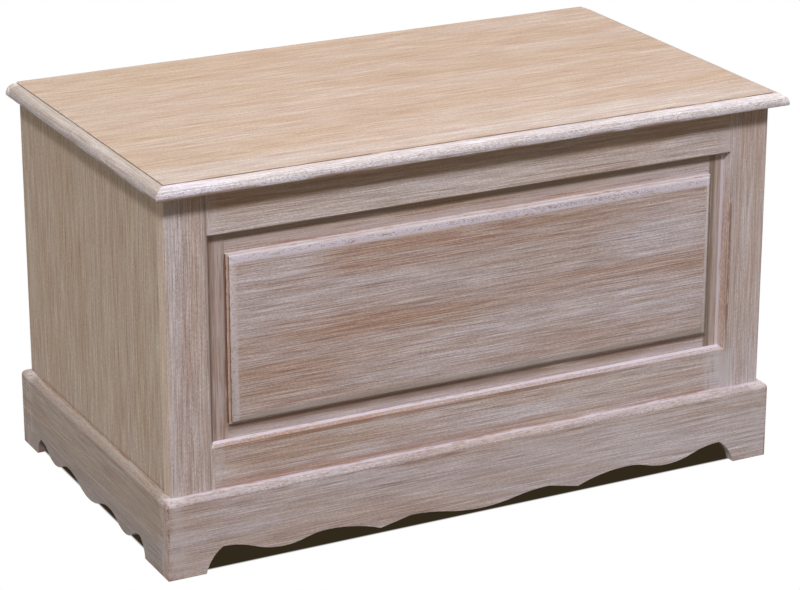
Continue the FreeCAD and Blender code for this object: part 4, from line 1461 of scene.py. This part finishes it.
@dataclass
class Screws:
    """Slotted screws, sunk flush into the fittings and the battens. One head is modelled and copied.

    Attributes:
        head_radius: Radius of a head.
        head_height: Height of a head.
        sides: Faces round a head and round its hole.
        rim: Width of its softened rim.
        rim_steps: Faces across the rim.
        slot_width: Width of its slot.
        slot_depth: Depth of its slot.
        ring: Gap between a head and its hole.
        hole_depth: Depth of the hole.
        turn: How far the slot of each next screw is turned, in degrees.
        leaf_gap: Distance from the hinge's axis to the face of a leaf.
        leaf_spacing: Distance between the three screws of a leaf.
        plate_spacing: Distance between the two screws of a stay's plate.
        sheet: Thickness of a stay's bracket.
        bracket_spacing: Distance between the two screws of a bracket.
        batten_count: Screws in a batten.
    """

    head_radius: float = 3.4
    head_height: float = 1.0
    sides: int = 40
    rim: float = 0.2
    rim_steps: int = 2
    slot_width: float = 0.8
    slot_depth: float = 0.6
    ring: float = 0.2
    hole_depth: float = 1.2
    turn: float = 37.0
    leaf_gap: float = 0.2
    leaf_spacing: float = 24.0
    plate_spacing: float = 36.0
    sheet: float = 2.0
    bracket_spacing: float = 24.0
    batten_count: int = 4

    def build(self, pieces: dict[str, bpy.types.Object]) -> None:
        """Sinks the screws of the hinges, the stays and the battens.

        Args:
            pieces: Finished pieces by node.
        """
        head = self.model_head()
        for node, piece in pieces.items():
            seats = self.seats(node)
            for number, seat in enumerate(seats):
                self.drill(piece, seat)
                self.drive(head, node, number, seat)
            if seats:
                pick_only(piece)
                workshop.smooth(piece)
                log.info("%s: %d screws", piece.name, len(seats))
        bpy.data.objects.remove(head)

    def seats(self, node: str) -> list[Seat]:
        """Returns where the screws of a node sit, and nothing for a node that has none."""
        makers = {"hinge_case_leaf": self.leaf_seats, "hinge_lid_leaf": self.leaf_seats,
                  "stay_plate": self.plate_seats, "stay_bracket": self.bracket_seats,
                  "lid_batten": self.batten_seats}
        return [seat for start, maker in makers.items() if node.startswith(start) for seat in maker(node)]

    def leaf_seats(self, node: str) -> list[Seat]:
        """Returns the seats in a hinge leaf, between its front edge and the back of the case."""
        low, high = box_mm(node)
        joints = frame["record"]["behaviour"]["joints"]
        hinge = next(joint for joint in joints if joint["name"] == "lid_hinge")
        side, sign = (Side.UP, -1) if "case" in node else (Side.DOWN, 1)
        face = hinge["pos_m"][2] / MM + sign * self.leaf_gap
        depth = (low.y + box_mm("back_panel")[1].y) / 2
        middle = (low.x + high.x) / 2
        return [Seat(Vector((middle + step * self.leaf_spacing, depth, face)), side) for step in (-1, 0, 1)]

    def plate_seats(self, node: str) -> list[Seat]:
        """Returns the seats in a stay's plate, above and below its pin."""
        low, high = box_mm(node)
        middle = (low + high) / 2
        face, side = (high.x, Side.RIGHT) if middle.x < 0 else (low.x, Side.LEFT)
        steps = (-self.plate_spacing / 2, self.plate_spacing / 2)
        return [Seat(Vector((face, middle.y, middle.z + step)), side) for step in steps]

    def bracket_seats(self, node: str) -> list[Seat]:
        """Returns the seats in the flange of a stay's bracket."""
        low, high = box_mm(node)
        middle = (low + high) / 2
        inward = self.sheet / 2 if middle.x < 0 else -self.sheet / 2
        steps = (-self.bracket_spacing / 2, self.bracket_spacing / 2)
        return [Seat(Vector((middle.x + inward, middle.y + step, high.z - self.sheet)), Side.DOWN)
                for step in steps]

    def batten_seats(self, node: str) -> list[Seat]:
        """Returns the seats along a batten."""
        low, high = box_mm(node)
        step = (high.y - low.y) / self.batten_count
        middle = (low.x + high.x) / 2
        return [Seat(Vector((middle, low.y + (number + 0.5) * step, low.z)), Side.DOWN)
                for number in range(self.batten_count)]

    def model_head(self) -> bpy.types.Object:
        """Models a head that looks up, with its top at the origin.

        Returns:
            The head, to be copied.
        """
        head = self.add_cylinder(self.head_radius, self.head_height)
        bpy.ops.object.select_all(action="DESELECT")
        bpy.ops.mesh.primitive_cube_add(size=1.0)
        slot = bpy.context.object
        slot.scale = Vector((4 * self.head_radius, self.slot_width, 2 * self.slot_depth)) * MM
        bpy.ops.object.transform_apply(scale=True)
        self.cut(head, slot)
        rim = head.modifiers.new("Rim", "BEVEL")
        rim.width = self.rim * MM
        rim.segments = self.rim_steps
        rim.limit_method = "ANGLE"
        bpy.ops.object.modifier_apply(modifier=rim.name)
        bpy.ops.object.shade_smooth_by_angle(angle=math.radians(workshop.sharp_angle))
        return head

    def add_cylinder(self, radius: float, height: float) -> bpy.types.Object:
        """Adds an upright cylinder whose top is at the origin and whose place is in its mesh."""
        bpy.ops.object.select_all(action="DESELECT")
        bpy.ops.mesh.primitive_cylinder_add(vertices=self.sides, radius=radius * MM, depth=height * MM,
                                            location=(0, 0, -height / 2 * MM))
        bpy.ops.object.transform_apply(location=True)
        return bpy.context.object

    def cut(self, piece: bpy.types.Object, cutter: bpy.types.Object) -> None:
        """Cuts one piece out of another and deletes the cutter."""
        pick_only(piece)
        difference = piece.modifiers.new("Cut", "BOOLEAN")
        difference.operation = "DIFFERENCE"
        difference.object = cutter
        bpy.ops.object.modifier_apply(modifier=difference.name)
        bpy.data.objects.remove(cutter)

    def drill(self, piece: bpy.types.Object, seat: Seat) -> None:
        """Drills the hole for a head into a piece."""
        drill = self.add_cylinder(self.head_radius + self.ring, 2 * self.hole_depth)
        drill.data.transform(seat.turned(0.0, -self.hole_depth))
        self.cut(piece, drill)

    def drive(self, head: bpy.types.Object, node: str, number: int, seat: Seat) -> None:
        """Puts a copy of the head into a seat.

        Args:
            head: The modelled head.
            node: Node that the screw holds.
            number: Number of the screw in the node.
            seat: Where it goes.
        """
        screw = bpy.data.objects.new(f"{node}_screw_{number + 1}", head.data.copy())
        bpy.context.scene.collection.objects.link(screw)
        screw.data.transform(seat.turned(self.turn * number, 0.0))
        metal = "brass" if node.startswith("hinge") else "steel"
        screw.data.materials.append(bpy.data.materials[METALS[metal]])
        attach(screw, body_of(node))


@dataclass(frozen=True)
class Lamp:
    """A square lamp.

    Attributes:
        name: Its name.
        place: Its place in metres.
        size: Its side in metres.
        power: Its power in watts.
        tint: Its colour.
    """

    name: str
    place: Triple
    size: float
    power: float
    tint: Triple

    def hang(self, target: Triple) -> None:
        """Hangs the lamp so that it points at a target."""
        bpy.ops.object.light_add(type="AREA", location=self.place)
        lamp = bpy.context.object
        lamp.name = self.name
        lamp.data.size = self.size
        lamp.data.energy = self.power
        lamp.data.color = self.tint
        aim = Vector(target) - Vector(self.place)
        lamp.rotation_euler = aim.to_track_quat("-Z", "Y").to_euler()


LAMPS = (
    Lamp("key_lamp", place=(-3.9, -5.2, 6.9), size=1.1, power=520.0, tint=(1.0, 0.98, 0.98)),
    Lamp("top_lamp", place=(0.0, 0.3, 3.4), size=2.4, power=32.0, tint=(1.0, 0.97, 0.93)),
    Lamp("right_lamp", place=(3.2, -2.8, 4.2), size=1.5, power=74.0, tint=(0.94, 0.96, 1.0)),
    Lamp("left_lamp", place=(-3.4, 0.3, 1.6), size=1.5, power=8.5, tint=(1.0, 0.95, 0.84)),
    Lamp("back_lamp", place=(0.6, 4.2, 0.25), size=0.5, power=38.0, tint=(1.0, 0.98, 0.95)),
)


@dataclass
class Studio:
    """Plain pale floor with a painted shadow under the chest, soft lamps and the camera.

    Attributes:
        camera_place: Camera's place in metres.
        camera_yaw: Turn of its view from straight ahead towards the right, in degrees.
        camera_pitch: Tilt of its view below level, in degrees.
        focal_length: Its lens.
        sensor_width: Width of its sensor.
        lamp_target: Point that the lamps light, in metres.
        world_light: Strength of the even light from all round.
        world_tint: Its colour.
        floor_size: Side of the floor in metres.
        floor_colour: Colour of the light that the floor throws back.
        floor_roughness: Roughness of the floor.
        painted_floor_shadow: Colour of the painted shadow that the floor glows with under the chest.
        shadow_inset: How far inside the chest's box the floor is white, along X and along Y.
        shadow_soft: Length over which it then darkens, along X and along Y.
    """

    camera_place: Triple = (-1.7215, -3.3735, 1.6083)
    camera_yaw: float = 27.155
    camera_pitch: float = 20.053
    focal_length: float = 134.04
    sensor_width: float = 36.0
    lamp_target: Triple = (0.0, 0.0, 0.3)
    world_light: float = 0.15
    world_tint: Triple = (1.0, 0.85, 0.62)
    floor_size: float = 40.0
    floor_colour: Triple = (0.17, 0.145, 0.11)
    floor_roughness: float = 0.9
    painted_floor_shadow: Triple = (0.031, 0.0225, 0.0115)
    shadow_inset: tuple[float, float] = (16.0, 20.5)
    shadow_soft: tuple[float, float] = (4.0, 5.0)

    def build(self) -> None:
        """Sets up the floor, the light and the camera."""
        self.lay_floor()
        self.light_world()
        for lamp in LAMPS:
            lamp.hang(self.lamp_target)
        self.place_camera()
        bpy.context.scene.view_settings.view_transform = "Standard"

    def lay_floor(self) -> None:
        """Lays a floor that looks white away from the chest and dark under it: to the camera it has no
        shading of its own, only a glow that paints the shadow.
        """
        bpy.ops.object.select_all(action="DESELECT")
        bpy.ops.mesh.primitive_plane_add(size=self.floor_size, location=(0, 0, 0))
        floor = bpy.context.object
        floor.name = "studio_floor"
        paint = Paint("pale_floor")
        seen = paint.seen_directly()
        paint.surface(paint.blend(seen, (*self.floor_colour, 1.0), BLACK), self.floor_roughness, specular=0.0)
        far = paint.math("MAXIMUM", *(self.past_chest(paint, axis) for axis in (Axis.X, Axis.Y)))
        # Painted shadow: near the chest the floor glows with the dark painted_floor_shadow colour instead of
        # white.
        glow = paint.blend(far, (*self.painted_floor_shadow, 1.0), WHITE)
        paint.feed(paint.shader.inputs["Emission Color"], glow)
        paint.feed(paint.shader.inputs["Emission Strength"], seen)
        floor.data.materials.append(paint.material)

    def past_chest(self, paint: Paint, axis: Axis) -> Socket:
        """Returns 0 well inside the chest's box along an axis, and 1 near its border and beyond it."""
        white = cad_box[1][axis.value] / MM - self.shadow_inset[axis.value]
        place = paint.math("ABSOLUTE", paint.along_axis[axis])
        return paint.between(place, white - self.shadow_soft[axis.value], white)

    def light_world(self) -> None:
        """Fills in with even light, from a world that looks white."""
        world = bpy.data.worlds.new("studio_world")
        bpy.context.scene.world = world
        world.use_nodes = True
        sky = Nodes(world.node_tree)
        seen = sky.seen_directly()
        background = sky.nodes["Background"]
        sky.feed(background.inputs["Strength"], sky.scaled(seen, self.world_light, 1.0))
        sky.feed(background.inputs["Color"], sky.blend(seen, (*self.world_tint, 1.0), WHITE))

    def place_camera(self) -> None:
        """Puts the camera where the photograph was taken from."""
        tilt = Euler((math.radians(90 - self.camera_pitch), 0.0, math.radians(-self.camera_yaw)))
        bpy.ops.object.camera_add(location=self.camera_place, rotation=tilt)
        camera = bpy.context.object
        camera.data.sensor_fit = "HORIZONTAL"
        camera.data.sensor_width = self.sensor_width
        camera.data.lens = self.focal_length
        bpy.context.scene.camera = camera


def main() -> None:
    """Builds and dresses the chest, then the studio round it."""
    logging.basicConfig(level=logging.INFO, format="%(message)s")
    lid, fittings = Lid(), Fittings()
    for assembly in (lid, FrontFrame(), RaisedPanel(), CaseBoards(), Plinth(), Bearers(), fittings):
        assembly.build()
        assembly.dress()
    Screws().build({**lid.pieces, **fittings.pieces})
    Studio().build()


if __name__ == "__main__":
    main()
